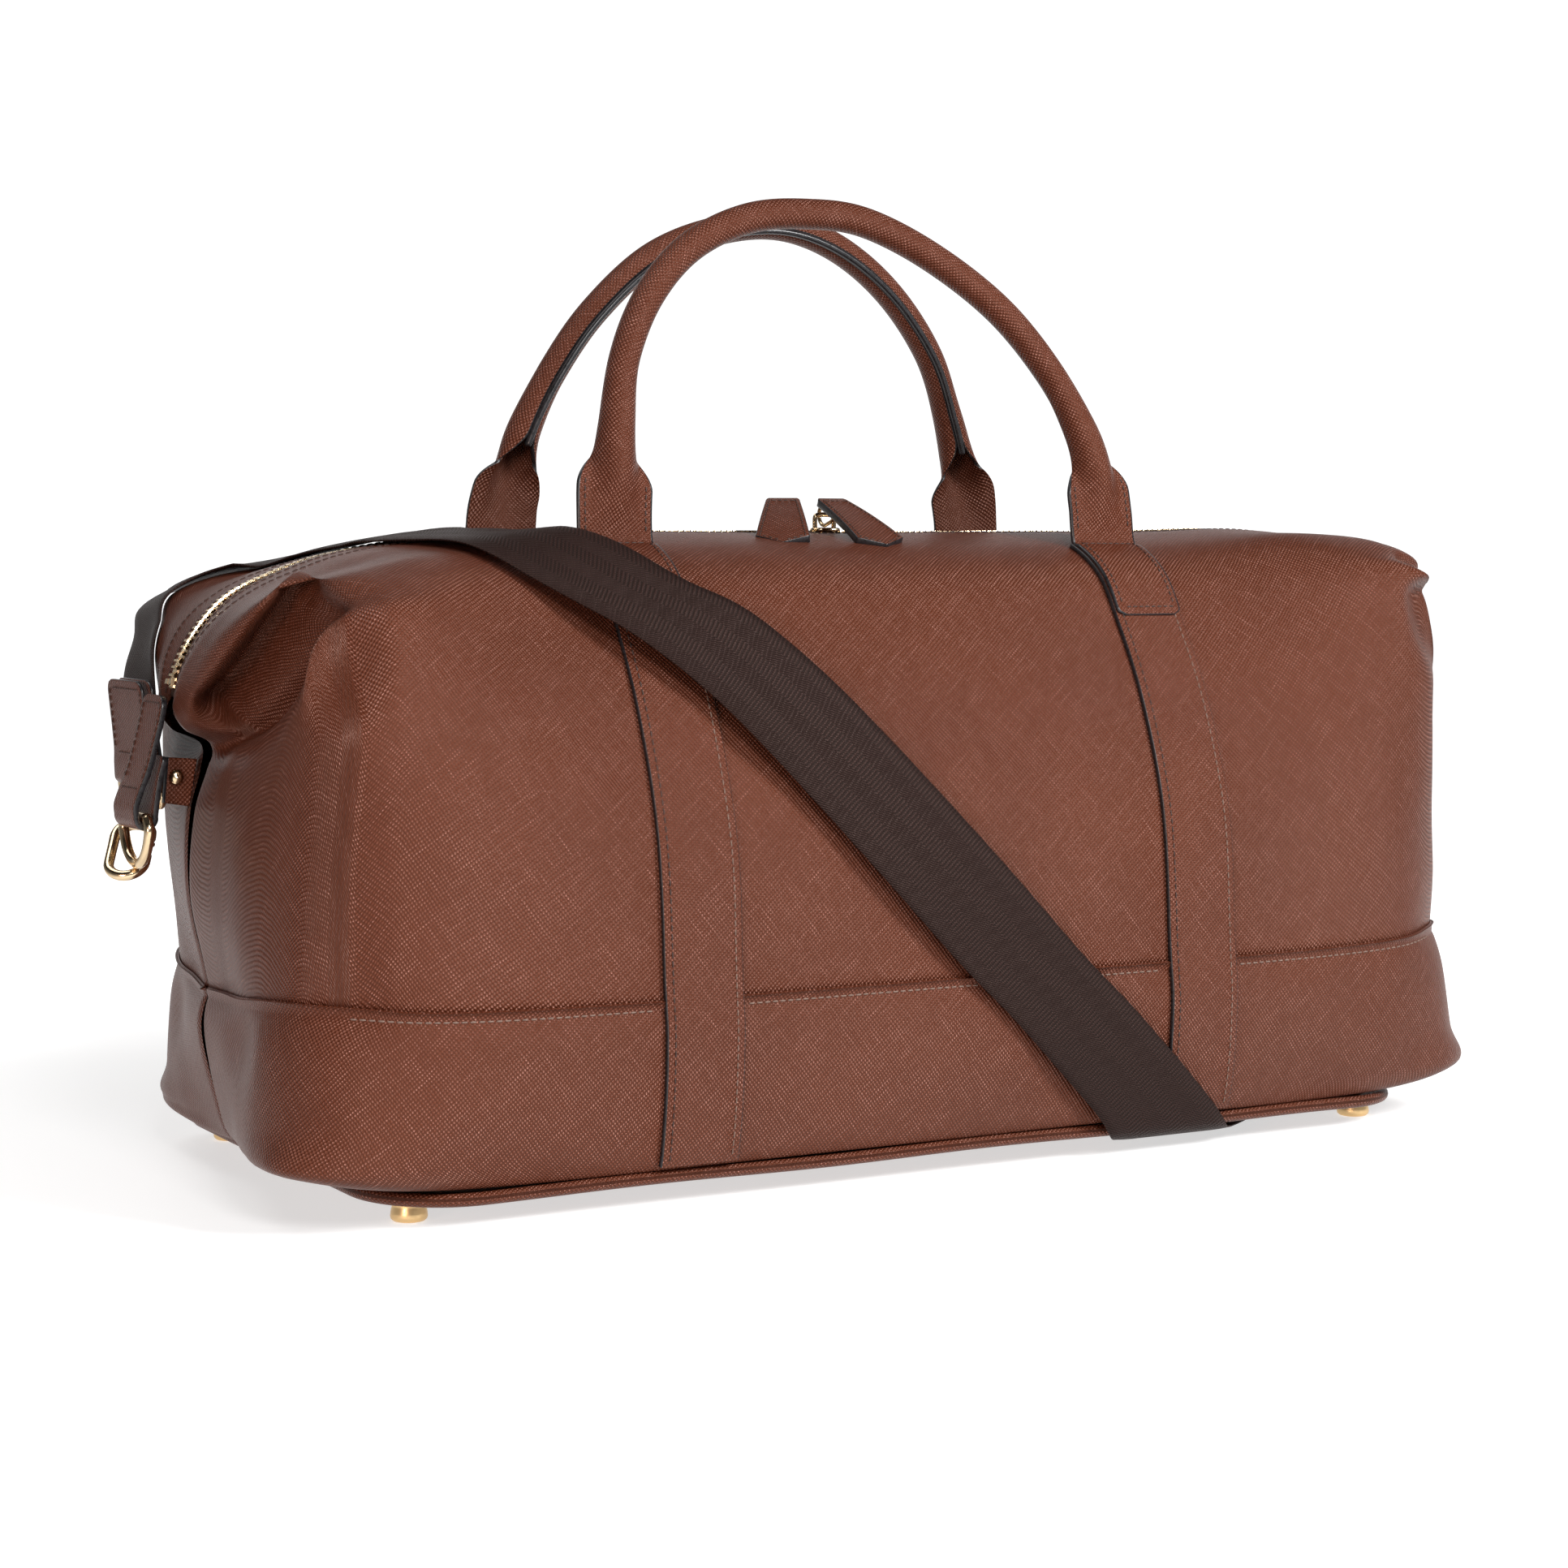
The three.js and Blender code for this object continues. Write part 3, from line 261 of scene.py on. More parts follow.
# ---------- materials ----------
class Nodes:
    """Short names for making a material's nodes."""

    def __init__(self, name, base, roughness, **fixed):
        self.material = bpy.data.materials.new(name)
        self.material.use_nodes = True
        self.tree = self.material.node_tree
        self.shader = self.tree.nodes["Principled BSDF"]
        self.shader.inputs["Base Color"].default_value = (*base, 1)
        self.shader.inputs["Roughness"].default_value = roughness
        for key, value in fixed.items():
            self.shader.inputs[key].default_value = value

    def node(self, kind, values=None, **settings):
        made = self.tree.nodes.new("ShaderNode" + kind)
        for key, value in settings.items():
            setattr(made, key, value)
        for key, value in (values or {}).items():
            if hasattr(value, "is_output"):
                self.tree.links.new(value, made.inputs[key])
            else:
                made.inputs[key].default_value = value
        return made.outputs[0]

    def math(self, kind, a, b=0.0, c=0.0):
        return self.node("Math", {0: a, 1: b, 2: c}, operation=kind)

    def add(self, a, b):
        return self.math("ADD", a, b)

    def times(self, a, b):
        return self.math("MULTIPLY", a, b)

    def times_add(self, a, b, c):
        return self.math("MULTIPLY_ADD", a, b, c)

    def link(self, output, name):
        self.tree.links.new(output, self.shader.inputs[name])

    def uv(self):
        return self.node("UVMap", uv_map="UVMap")

    def place(self):
        made = self.tree.nodes.new("ShaderNodeTexCoord")
        return made.outputs["Object"]

    def noise(self, where, scale, detail=3.0):
        values = {"Vector": where, "Scale": scale, "Detail": detail, "Roughness": 0.55}
        return self.node("TexNoise", values)

    def ramp(self, value, low, high, start=0.0, end=1.0):
        return self.node("MapRange", {0: value, 1: start, 2: end, 3: low, 4: high})

    def mix(self, factor, a, b):
        made = self.tree.nodes.new("ShaderNodeMix")
        made.data_type = "RGBA"
        for socket, value in ((made.inputs[0], factor), (made.inputs[6], a), (made.inputs[7], b)):
            if hasattr(value, "is_output"):
                self.tree.links.new(value, socket)
            else:
                socket.default_value = value if np.ndim(value) == 0 else (*value, 1)
        return made.outputs[2]

    def bump(self, height, distance, strength=1.0, under=None):
        values = {"Height": height, "Distance": distance, "Strength": strength}
        if under is not None:
            values["Normal"] = under
        return self.node("Bump", values)

    def axes(self, where):
        made = self.tree.nodes.new("ShaderNodeSeparateXYZ")
        self.tree.links.new(where, made.inputs[0])
        return made.outputs


def stripes(n, x, y, angle, pitch, wobble):
    """Sine ridges across the direction at an angle, from 0 to 1."""
    turn = 2 * math.pi / pitch
    ax = n.times(x, math.cos(angle) * turn)
    both = n.times_add(y, math.sin(angle) * turn, ax)
    bent = n.add(both, wobble)
    return n.times_add(n.math("SINE", bent), 0.5, 0.5)


FINE_WAY, LONG_WAY = 650, 70


def thread_noise(n, x, y, angle):
    """Noise drawn out along the threads that run across the direction at an angle."""
    c, s = math.cos(angle), math.sin(angle)
    over = n.times_add(y, s * FINE_WAY, n.times(x, c * FINE_WAY))
    along = n.times_add(y, c * LONG_WAY, n.times(x, -s * LONG_WAY))
    return n.noise(n.node("CombineXYZ", {"X": over, "Y": along}), 1.0, 2)


HATCH_PITCH, HATCH_DEPTH = 0.00118, 0.00042
HATCH_WAYS = (math.radians(38), math.radians(-50))


def leather_material(name, light, dark, rough=(0.3, 0.42)):
    """Leather pressed with a fine cross-hatch: raised dots between two sets of grooves."""
    n = Nodes(name, light, 0.45, **{
        "Specular IOR Level": 0.42, "Specular Tint": (1.0, 0.6, 0.48, 1)})
    uv = n.uv()
    x, y, _ = n.axes(uv)
    drift = n.times(n.noise(uv, 45, 2), 5.0)
    jitter = n.times(n.noise(uv, 420, 2), 2.2)
    wobble = n.add(drift, jitter)
    first = stripes(n, x, y, HATCH_WAYS[0], HATCH_PITCH, wobble)
    second = stripes(n, x, y, HATCH_WAYS[1], HATCH_PITCH * 1.06, wobble)
    dots = n.times(first, second)
    ridges = n.add(first, second)
    height = n.times_add(ridges, 0.3, n.times(dots, 0.5))
    patch = n.noise(n.place(), 13, 4)
    fine = n.noise(uv, 900, 3)
    tone = n.mix(n.ramp(patch, 0, 1, 0.3, 0.7), light, dark)
    # painted shade: the base colour is darkened in the grooves, where the hatch is low
    groove = tuple(c * 0.55 for c in dark)
    body = n.mix(n.ramp(height, 0.8, 0.0, 0.05, 0.65), tone, groove)
    runs = n.math("MAXIMUM", *(thread_noise(n, x, y, way) for way in HATCH_WAYS))
    # painted highlights: some dots are lightened in the base colour, in short rows along the hatch
    tops, rows = n.ramp(dots, 0.0, 1.0, 0.5, 0.9), n.ramp(runs, 0.06, 0.85, 0.5, 0.72)
    painted_glint = n.times(tops, rows)
    n.link(n.mix(painted_glint, body, tuple(0.14 + 2.6 * c for c in light)), "Base Color")
    grain = n.add(n.times(fine, 0.6), n.times(patch, 0.4))
    n.link(n.ramp(grain, rough[0], rough[1], 0.25, 0.75), "Roughness")
    soft = n.bump(n.noise(n.place(), 34, 4), 0.0009, 0.25)
    n.link(n.bump(height, HATCH_DEPTH, 0.9, soft), "Normal")
    return n.material


def edge_material():
    """Black edge paint, nearly smooth, with faint pooling."""
    n = Nodes("edge_paint", (0.012, 0.0115, 0.013), 0.3)
    spots = n.noise(n.place(), 600, 3)
    n.link(n.ramp(spots, 0.24, 0.4, 0.3, 0.7), "Roughness")
    tone = n.mix(n.ramp(spots, 0, 1, 0.3, 0.7), (0.009, 0.009, 0.01), (0.02, 0.019, 0.022))
    n.link(tone, "Base Color")
    n.link(n.bump(n.noise(n.place(), 220, 2), 0.0002, 0.5), "Normal")
    return n.material


RIB_WIDTH = 0.0127


def webbing_material():
    """Narrow twill stripes that turn back at each rib, in a dark brown yarn."""
    n = Nodes("webbing", (0.04, 0.026, 0.022), 0.6, **{
        "Specular IOR Level": 0.16, "Specular Tint": (1.0, 0.7, 0.62, 1),
        "Sheen Weight": 0.01, "Sheen Roughness": 0.5, "Sheen Tint": (0.8, 0.6, 0.55, 1)})
    uv = n.uv()
    x, y, _ = n.axes(uv)
    ribs = n.math("FRACT", n.math("DIVIDE", x, RIB_WIDTH))
    zig = n.times(n.math("ABSOLUTE", n.math("SUBTRACT", ribs, 0.5)), RIB_WIDTH)
    jitter = n.times(n.noise(uv, 700, 2), 0.9)
    twill = stripes(n, zig, y, math.radians(48), 0.00118, jitter)
    weft = stripes(n, x, y, math.radians(90), 0.0009, jitter)
    warp = stripes(n, x, y, 0.0, 0.00082, jitter)
    yarns = n.times(n.times(weft, warp), 0.4)
    height = n.times_add(twill, 0.6, yarns)
    cloud = n.noise(uv, 60, 3)
    light = n.mix(cloud, (0.027, 0.0135, 0.0115), (0.018, 0.009, 0.0078))
    # painted shade: the low parts of the weave are darkened in the base colour
    n.link(n.mix(n.ramp(height, 1, 0, 0.15, 0.75), light, (0.006, 0.0035, 0.003)), "Base Color")
    n.link(n.ramp(height, 0.6, 0.36), "Roughness")
    n.link(n.bump(height, 0.00028, 0.9), "Normal")
    return n.material


def gold_material(name, base, rough):
    """Plated metal with fine polishing marks."""
    n = Nodes(name, base, rough, Metallic=1.0)
    marks = n.noise(n.place(), 900, 4)
    cloud = n.noise(n.place(), 60, 3)
    n.link(n.ramp(marks, rough, rough + 0.08, 0.3, 0.7), "Roughness")
    n.link(n.mix(n.ramp(cloud, 0, 1, 0.3, 0.7), base, tuple(c * 0.88 for c in base)), "Base Color")
    n.link(n.bump(n.noise(n.place(), 260, 2), 0.0001, 0.25), "Normal")
    return n.material


def cloth_material(name, light, dark, pitch):
    """Plain fine weave placed by object coordinates."""
    n = Nodes(name, light, 0.85)
    x, y, z = n.axes(n.place())
    along = n.add(x, y)
    a = stripes(n, along, z, 0.0, pitch, 0.0)
    b = stripes(n, along, z, math.pi / 2, pitch, 0.0)
    height = n.times(a, b)
    # painted shade: the weave is darker where it is low, between the threads
    n.link(n.mix(n.ramp(height, 1, 0, 0.0, 0.6), light, dark), "Base Color")
    n.link(n.ramp(n.noise(n.place(), 300, 3), 0.75, 0.95), "Roughness")
    n.link(n.bump(height, 0.0002, 0.8), "Normal")
    return n.material


def thread_material(name, light, dark):
    n = Nodes(name, light, 0.7)
    grain = n.noise(n.place(), 1500, 2)
    n.link(n.mix(n.ramp(grain, 0, 1, 0.3, 0.7), light, dark), "Base Color")
    n.link(n.ramp(grain, 0.6, 0.8), "Roughness")
    n.link(n.bump(grain, 0.0001, 0.6), "Normal")
    return n.material


LEATHER_LOOK = leather_material("saffiano", (0.108, 0.0275, 0.0122), (0.084, 0.0205, 0.009))
BACK_LOOK = leather_material(
    "leather_back", (0.072, 0.0185, 0.0085), (0.054, 0.0135, 0.006), rough=(0.4, 0.55))
EDGE_LOOK = edge_material()
WEBBING_LOOK = webbing_material()
GOLD_LOOK = gold_material("pale_gold", (0.86, 0.66, 0.42), 0.14)
FOOT_LOOK = gold_material("satin_gold", (0.86, 0.6, 0.3), 0.3)
THREAD_LOOK = thread_material("brown_thread", (0.05, 0.026, 0.02), (0.028, 0.015, 0.012))
PALE_THREAD_LOOK = thread_material("tan_thread", (0.2, 0.13, 0.1), (0.12, 0.075, 0.058))
TAPE_LOOK = cloth_material("zip_tape", (0.07, 0.035, 0.025), (0.03, 0.014, 0.01), 0.0008)
LINING_LOOK = cloth_material("lining_cotton", (0.25, 0.18, 0.13), (0.12, 0.08, 0.06), 0.0006)
BOARD_LOOK = cloth_material("fibre_board", (0.05, 0.045, 0.04), (0.03, 0.026, 0.024), 0.0012)
CORD_LOOK = cloth_material("core_cord", (0.5, 0.42, 0.33), (0.3, 0.25, 0.2), 0.002)
EDGED = [LEATHER_LOOK, EDGE_LOOK]  # faces, then painted edges


# ---------- the bag's outer surface ----------
def rail(y, z, *bend):
    """One quarter of a line round the bag, as [|x|, |y|, z], from the middle of the long side,
    round the corner and on to the seam at the middle of the end."""
    return [[0, y, z], [70, y, z], [STRAIGHT, y, z], *bend]


PANEL_RAILS = np.array([
    # zip edge
    rail(5.5, 238, [175, 5.5, 233.5], [205, 5.5, 228.5], [226, 5.5, 221.5], [240, 5.5, 214.5],
         [249, 5.5, 206], [256, 5.5, 196], [260.5, 5, 186], [262.5, 4, 176]),
    # crest
    rail(25, 237, [175, 28, 233], [205, 32, 228], [228, 36, 222], [243, 38, 215], [254, 35, 206],
         [261, 27, 195], [264, 17, 184], [264.5, 8, 173]),
    # fold
    rail(50, 231.5, [175, 58, 229], [205, 67, 225], [230, 74, 221], [248, 76, 213], [254, 62, 201],
         [258, 45, 188], [259.5, 27, 174], [260, 9, 166]),
    # tuck
    rail(69, 221, [175, 76, 221], [205, 86, 219], [227, 90, 214], [224, 80, 203], [225, 64, 189],
         [231, 47, 177], [241, 28, 166], [250, 7, 161]),
    # rim
    rail(81, 204.5, [175, 89, 206], [205, 98, 208], [229, 103, 207], [241, 103, 201],
         [245, 94, 185], [250, 70, 169], [252, 41, 160], [250.5, 4, 152]),
    # upper
    rail(99, 172, [175, 105, 176], [205, 107, 178], [228, 107, 178], [242, 98, 174],
         [249, 85, 161], [254, 65, 148], [255, 38, 140], [254.5, 2, 136]),
    # middle
    rail(113, 128, [175, 113, 130], [205, 112, 132], [228, 105, 132], [241, 94, 130],
         [249, 78, 125], [254, 58, 118], [255, 34, 112], [256, 1, 109]),
    # seam
    rail(117.5, 74, [175, 116.5, 74.5], [205, 113, 75.5], [224, 104, 77], [240, 90, 78],
         [247, 72, 77.5], [250, 50, 76], [249, 26, 74.5], [249.5, 0.7, 73.5]),
], float)
BAND_RAILS = np.array([
    PANEL_RAILS[-1] - [0, 0, 0.35],
    # band upper
    rail(118.5, 60, [175, 118, 60], [205, 115, 61], [229, 106, 62], [244, 92, 62], [251, 73, 61],
         [250, 50, 60], [252, 26, 59], [252, 0.7, 58]),
    # band lower
    rail(117, 36, [175, 117, 36], [205, 116, 37], [230, 109, 37], [246, 95, 36], [253, 75, 36],
         [253, 51, 35], [249.5, 26, 34], [247, 0.7, 34]),
    # band foot
    rail(113, 15, [175, 112, 15], [205, 112, 16], [231, 109, 18], [249, 96, 20.5], [252, 75, 20],
         [248, 50, 18.5], [243, 25, 17], [240, 0.7, 17]),
    # band hem
    rail(107, 13, [175, 106.5, 13], [200, 104, 13], [213, 96, 13], [219, 83, 13], [221, 68, 13],
         [221.5, 48, 13], [222, 25, 13], [222, 0.7, 13]),
], float)
LAST_STATION = 10


def settle(p, sx, sy):
    """Turns points of the quarter into their places on one corner of the soft bag."""
    x, y, z = p[..., 0], p[..., 1], p[..., 2]
    away = smooth((x - STRAIGHT) / 80) * smooth((z - 12) / 10)
    back = BACK_TAPER * y * away if sy > 0 else 0.0
    front = FRONT_FLARE * y * away * (1 - smooth((z - 80) / 100)) if sy < 0 else 0.0
    lift = RIGHT_LIFT * smooth((x - 120) / 120) * smooth((z - 100) / 100) if sx > 0 else 0.0
    tuck = FRONT_TUCK * smooth((x - 215) / 25) * smooth((z - 165) / 35) if sy < 0 else 0.0
    if sx > 0:
        tuck = tuck * (1 - 1.2 * smooth((z - 200) / 10))
    return np.stack([sx * x * (1 - back + front), sy * y * (1 - tuck), z + lift], -1)


def half_grid(rails, u, v, sx, sy):
    rows = through(rails.transpose(1, 0, 2), u)
    return settle(through(rows.transpose(1, 0, 2), v), sx, sy)


def full_grid(rails, u, v, sy):
    """Points [row v][column], from the left end seam to the right one."""
    left = half_grid(rails, u[::-1], v, -1, sy)
    right = half_grid(rails, u[1:], v, 1, sy)
    return np.concatenate([left, right], axis=1)


def even_stations(rail, step):
    """Stations spaced evenly in length along a rail."""
    u = np.linspace(0, LAST_STATION, 800)
    s = lengths(through(rail, u))
    return np.interp(np.linspace(0, s[-1], int(s[-1] / step)), s, u)


def normals_of(grid, sy):
    """Outward unit normals of a full grid."""
    across = np.gradient(grid, axis=1)
    down = np.gradient(grid, axis=0)
    return unit(np.cross(down, across)) * -sy


def bump_at(grid, centre, size):
    """Soft hill of height 1 round a point, stretched by size in x, y and z."""
    d = (grid - np.asarray(centre)) / np.asarray(size)
    return np.exp(-(d**2).sum(-1))


def crease(grid, a, b, width):
    """1 on the segment from a to b, falling off over width."""
    a, b = np.asarray(a, float), np.asarray(b, float)
    t = np.clip(((grid - a) @ (b - a)) / ((b - a) @ (b - a)), 0, 1)
    gap = grid - (a + t[..., None] * (b - a))
    fade = np.sin(np.pi * np.clip(t, 0.02, 0.98)) ** 0.5
    return np.exp(-((gap**2).sum(-1)) / width**2) * fade


def ripple(p, seed):
    """Slow uneven swell of soft leather, about -1 to 1."""
    total = np.zeros(p.shape[:-1])
    for k, wave in enumerate((170.0, 95.0, 58.0)):
        a = seed * 1.7 + k * 2.1
        d = np.array([math.cos(a), 0.35 * math.sin(2 * a), math.sin(a)])
        e = np.array([-math.sin(a), 0.5, math.cos(a)])
        across = np.cos(p @ e * 2 * math.pi / (wave * 1.3) + 2 * a)
        total += np.sin(p @ d * 2 * math.pi / wave + a) * across / (k + 1.6)
    return total


def rail_steps(*counts):
    """Places between the rails, with so many steps from each rail to the next."""
    steps = [np.arange(k, k + 1, 1 / n) for k, n in enumerate(counts)]
    return np.concatenate(steps + [[float(len(counts))]])


V_PANEL = rail_steps(12, 14, 14, 12, 14, 16, 20)
V_BAND = rail_steps(9, 12, 12, 9)
U_COLUMNS = even_stations(PANEL_RAILS[6], 2.1)


def relax(grid, sy, seed):
    """Adds the swell, wrinkles and fold lines of a filled soft bag to the smooth surface."""
    normal = normals_of(grid, sy)
    x, z = grid[..., 0], grid[..., 2]
    ends = smooth((np.abs(x) - 120) / 90)
    height = ripple(grid, seed) * (0.45 + 0.9 * ends) * smooth((z - 80) / 30)
    for sx in (-1, 1):
        ear = np.array([sx * 246, sy * 88, 212])
        top = np.array([sx * 262, sy * 10, 172])
        for k, (start, end, width, amount) in enumerate((
            ([sx * 176, sy * 58, 232], [sx * 232, sy * 74, 222], 9, 1.1),
            ([sx * 190, sy * 40, 231], [sx * 244, sy * 56, 212], 7, -0.9),
            ([sx * 214, sy * 106, 198], [sx * 236, sy * 99, 150], 9, 1.0),
            ([sx * 246, sy * 84, 170], [sx * 252, sy * 62, 128], 10, -1.1),
            ([sx * 252, sy * 46, 176], [sx * 256, sy * 30, 140], 7, 0.9),
            ([sx * 256, sy * 34, 196], [sx * 262, sy * 14, 176], 4.5, -0.9),
            ([sx * 250, sy * 52, 206], [sx * 259, sy * 24, 186], 5, 0.8),
        )):
            lift = [0, 0, END_LIFT["right"] * 0.9 if sx > 0 and start[2] > 150 else 0]
            height += amount * crease(grid, np.add(start, lift), np.add(end, lift), width)
        height += 0.6 * bump_at(grid, ear, (9, 9, 9)) + 0.4 * bump_at(grid, top, (5, 6, 6))
    for sx in (-1, 1):
        # the panel dips a little beside each vertical strip, where the stitching holds it down
        near = np.abs(np.abs(x - sx * 109) - 19)
        height -= 0.5 * np.exp(-((near / 6) ** 2)) * smooth((228 - z) / 14)
    return grid + normal * height[..., None]


def depths(grid):
    """Distance of each point down its column."""
    steps = np.linalg.norm(np.diff(grid, axis=0), axis=-1)
    return np.cumsum(np.concatenate([np.zeros((1, grid.shape[1])), steps]), axis=0)


def cloth_uv(grid):
    """Flat coordinates of a grid in metres: along one of its rows and down its columns."""
    row = grid[len(grid) * 2 // 3]
    s = lengths(row) - lengths(row)[-1] / 2
    down = depths(grid)
    return np.stack([np.broadcast_to(s, down.shape), -down], -1) * MM


def shell_sheet(name, grid, sy, top, bottom, end_roll):
    """A leather panel: its outer face, with each edge turned in along the given profiles.
    A profile is [out along the edge, out along the normal] pairs beyond the edge."""
    normal = normals_of(grid, sy)
    down = unit(np.gradient(grid, axis=0))
    uv = cloth_uv(grid)
    rows, row_uv = [], []
    for along, out in top[::-1]:
        rows.append(grid[0] - down[0] * along + normal[0] * out)
        row_uv.append(uv[0] + [0, along * MM])
    rows += list(grid)
    row_uv += list(uv)
    for along, out in bottom:
        rows.append(grid[-1] + down[-1] * along + normal[-1] * out)
        row_uv.append(uv[-1] - [0, along * MM])
    whole, uvs = np.array(rows), np.array(row_uv)
    n = normals_of(whole, sy)
    distance = np.array([lengths(row) for row in whole])
    inner = np.minimum(distance, distance[:, -1:] - distance)
    whole = whole - n * (end_roll * np.exp(-((inner / 1.6) ** 2)))[..., None]
    facing = np.cross(whole[1, 0] - whole[0, 0], whole[1, 1] - whole[0, 0]) @ n[0, 0]
    faces = grid_faces(*whole.shape[:2], flip=facing < 0)
    return mesh(name, whole.reshape(-1, 3), faces, [LEATHER_LOOK], uvs.reshape(-1, 2))


STITCH_GAP, STITCH_RISE = 0.85, 0.12


def stitch_line(points, normals, pitch=3.15, width=0.34, start=0.0):
    """One row of stitches lying on a line: a list of parts for join_parts."""
    s = lengths(points)
    parts = []
    centre = start + pitch / 2
    sides = 6
    a = np.arange(sides) * 2 * math.pi / sides
    t = np.array([-1, -0.78, -0.3, 0.3, 0.78, 1.0])
    r = np.array([0.25, 0.8, 1.0, 1.0, 0.8, 0.25])
    while centre < s[-1] - pitch / 2 + 0.01:
        where = centre + t * (pitch - STITCH_GAP) / 2
        spots = np.stack([np.interp(where, s, points[:, k]) for k in range(3)], -1)
        n = unit(np.stack([np.interp(centre, s, normals[:, k]) for k in range(3)], -1))
        along = unit(spots[-1] - spots[0])
        side = unit(np.cross(along, n))
        spots = spots + n * (STITCH_RISE - 0.35 * width * (1 - r))[:, None]
        ring = side * np.cos(a)[:, None] + n * np.sin(a)[:, None]
        parts.append(skin(spots[:, None] + (width * r)[:, None, None] * ring))
        centre += pitch
    return parts


brown_stitches, tan_stitches = [], []
hard_surfaces = []

# ---------- panels and band ----------
# the hollow under the front left ear: its line, the way it is pressed, how deep and how wide
EAR_FOLD = np.array([[-239, -70, 214], [-243, -58, 202], [-248, -43, 187], [-254, -30, 174]], float)
EAR_FOLD_WAY, EAR_FOLD_DEPTH, EAR_FOLD_REACH = (0.3, 0.85, 0.35), 25.0, 7.0


def pressed_in(grid, line, way, depth, reach):
    """The grid pushed along way near a line, most at the line, fading over reach."""
    spots = resample(line, 1.5)
    gap = np.min(np.linalg.norm(grid[:, :, None] - spots, axis=-1), axis=-1)
    return grid + unit(np.array(way, float)) * (depth * np.exp(-((gap / reach) ** 2)))[..., None]


PANEL_TOP = [(0.55, -0.22), (0.85, -0.8), (0.5, -1.45), (-2.5, -1.6), (-6.0, -1.65)]
PANEL_FOOT = [(0.6, -0.5), (1.4, -1.3), (3.0, -1.75)]
BAND_EDGE = [(0.1, 0.55), (-0.25, -0.1), (0.2, -0.9)]
BAND_FOOT = [(1.5, -0.8)]
BAND_STITCH_DEPTH, EDGE_ROLL = 3.2, 0.9
panel_grids, band_grids = {}, {}
for side, sy in SIDES:
    grid = relax(full_grid(PANEL_RAILS, U_COLUMNS, V_PANEL, sy), sy, 1.3 + sy)
    if side == "front":
        grid = pressed_in(grid, EAR_FOLD, EAR_FOLD_WAY, EAR_FOLD_DEPTH, EAR_FOLD_REACH)
    panel_grids[side] = grid
    panel = shell_sheet(side + "_panel_leather", grid, sy, PANEL_TOP, PANEL_FOOT, EDGE_ROLL)
    hide_with(panel, "bag", "leather", side + "_panel")

    smooth_band = full_grid(BAND_RAILS, U_COLUMNS, V_BAND, sy)
    normal = normals_of(smooth_band, sy)
    down = depths(smooth_band)
    # the turned top edge stands proud, then dips at its row of stitches
    groove = np.exp(-(((down - BAND_STITCH_DEPTH) / 1.2) ** 2))
    proud = 1.15 * np.exp(-((down / 1.9) ** 2)) - 0.35 * groove
    soft = ripple(smooth_band, 4.1 + sy) * 0.7 * smooth(down / 16)
    soft = soft * smooth((smooth_band[..., 2] - 13) / 14)
    band = smooth_band + normal * (proud + soft)[..., None]
    band_grids[side] = band
    band_leather = shell_sheet(side + "_band_leather", band, sy, BAND_EDGE, BAND_FOOT, EDGE_ROLL)
    hide_with(band_leather, "bag", "leather", side + "_band")
    hard_surfaces += [grid, band]

    row = nearest(down[:, down.shape[1] // 2], BAND_STITCH_DEPTH)
    line, out = band[row], normals_of(band, sy)[row]
    for low, high in ((-236, -126), (-92, 92), (126, 236)):
        keep = (line[:, 0] > low) & (line[:, 0] < high)
        tan_stitches += stitch_line(line[keep], out[keep])
    for zip_row in (2, 7):
        grid_normals = normals_of(grid, sy)
        keep = slice(6, grid.shape[1] - 6)
        brown_stitches += stitch_line(grid[zip_row][keep], grid_normals[zip_row][keep], width=0.26)

# ---------- base, piping and feet ----------
BASE_X, BASE_Y, BASE_R = 222.0, 107.5, 32.0
BASE_BOTTOM, BASE_TOP, BOARD_BOTTOM, BOARD_TOP = 8.0, 10.4, 10.75, 12.65


def rounded_rectangle(x, y, r, z, steps=12, straight=10):
    """Closed outline in the XY plane."""
    points = []
    for sx, sy, start in ((1, 1, 0.0), (-1, 1, 0.5), (-1, -1, 1.0), (1, -1, 1.5)):
        a = math.pi * (start + np.linspace(0, 0.5, steps + 1))
        points.append(np.stack([sx * (x - r) + r * np.cos(a), sy * (y - r) + r * np.sin(a)], -1))
    outline = np.concatenate(points + [points[0][:1]])
    outline = resample(outline, (x + y) / (straight * 4))[:-1]
    return np.concatenate([outline, np.full((len(outline), 1), float(z))], -1)


def plate_piece(name, inset, z0, z1, material):
    """Flat plate with eased edges."""
    levels = ((0.8, z0), (0.1, z0 + 0.5), (0.0, (z0 + z1) / 2), (0.1, z1 - 0.5), (0.8, z1))
    x, y, r = BASE_X - inset, BASE_Y - inset, BASE_R - inset / 2
    rings = [rounded_rectangle(x - k, y - k, r, z, 12, 24) for k, z in levels]
    n = min(len(r) for r in rings)
    rings = [resample(np.concatenate([r, r[:1]]), 4.0)[: 4 * (n // 4)] for r in rings]
    n = min(len(r) for r in rings)
    verts, faces, _, _ = skin([r[:n] for r in rings])
    return outward(mesh(name, verts, faces, [material], verts[:, :2] * MM))


plate = plate_piece("base_leather", 0, BASE_BOTTOM, BASE_TOP, LEATHER_LOOK)
hide_with(plate, "bag", "leather", "base_panel")
plate = plate_piece("base_stiffener", 4, BOARD_BOTTOM, BOARD_TOP, BOARD_LOOK)
hide_with(plate, "bag", "board", "base_board")

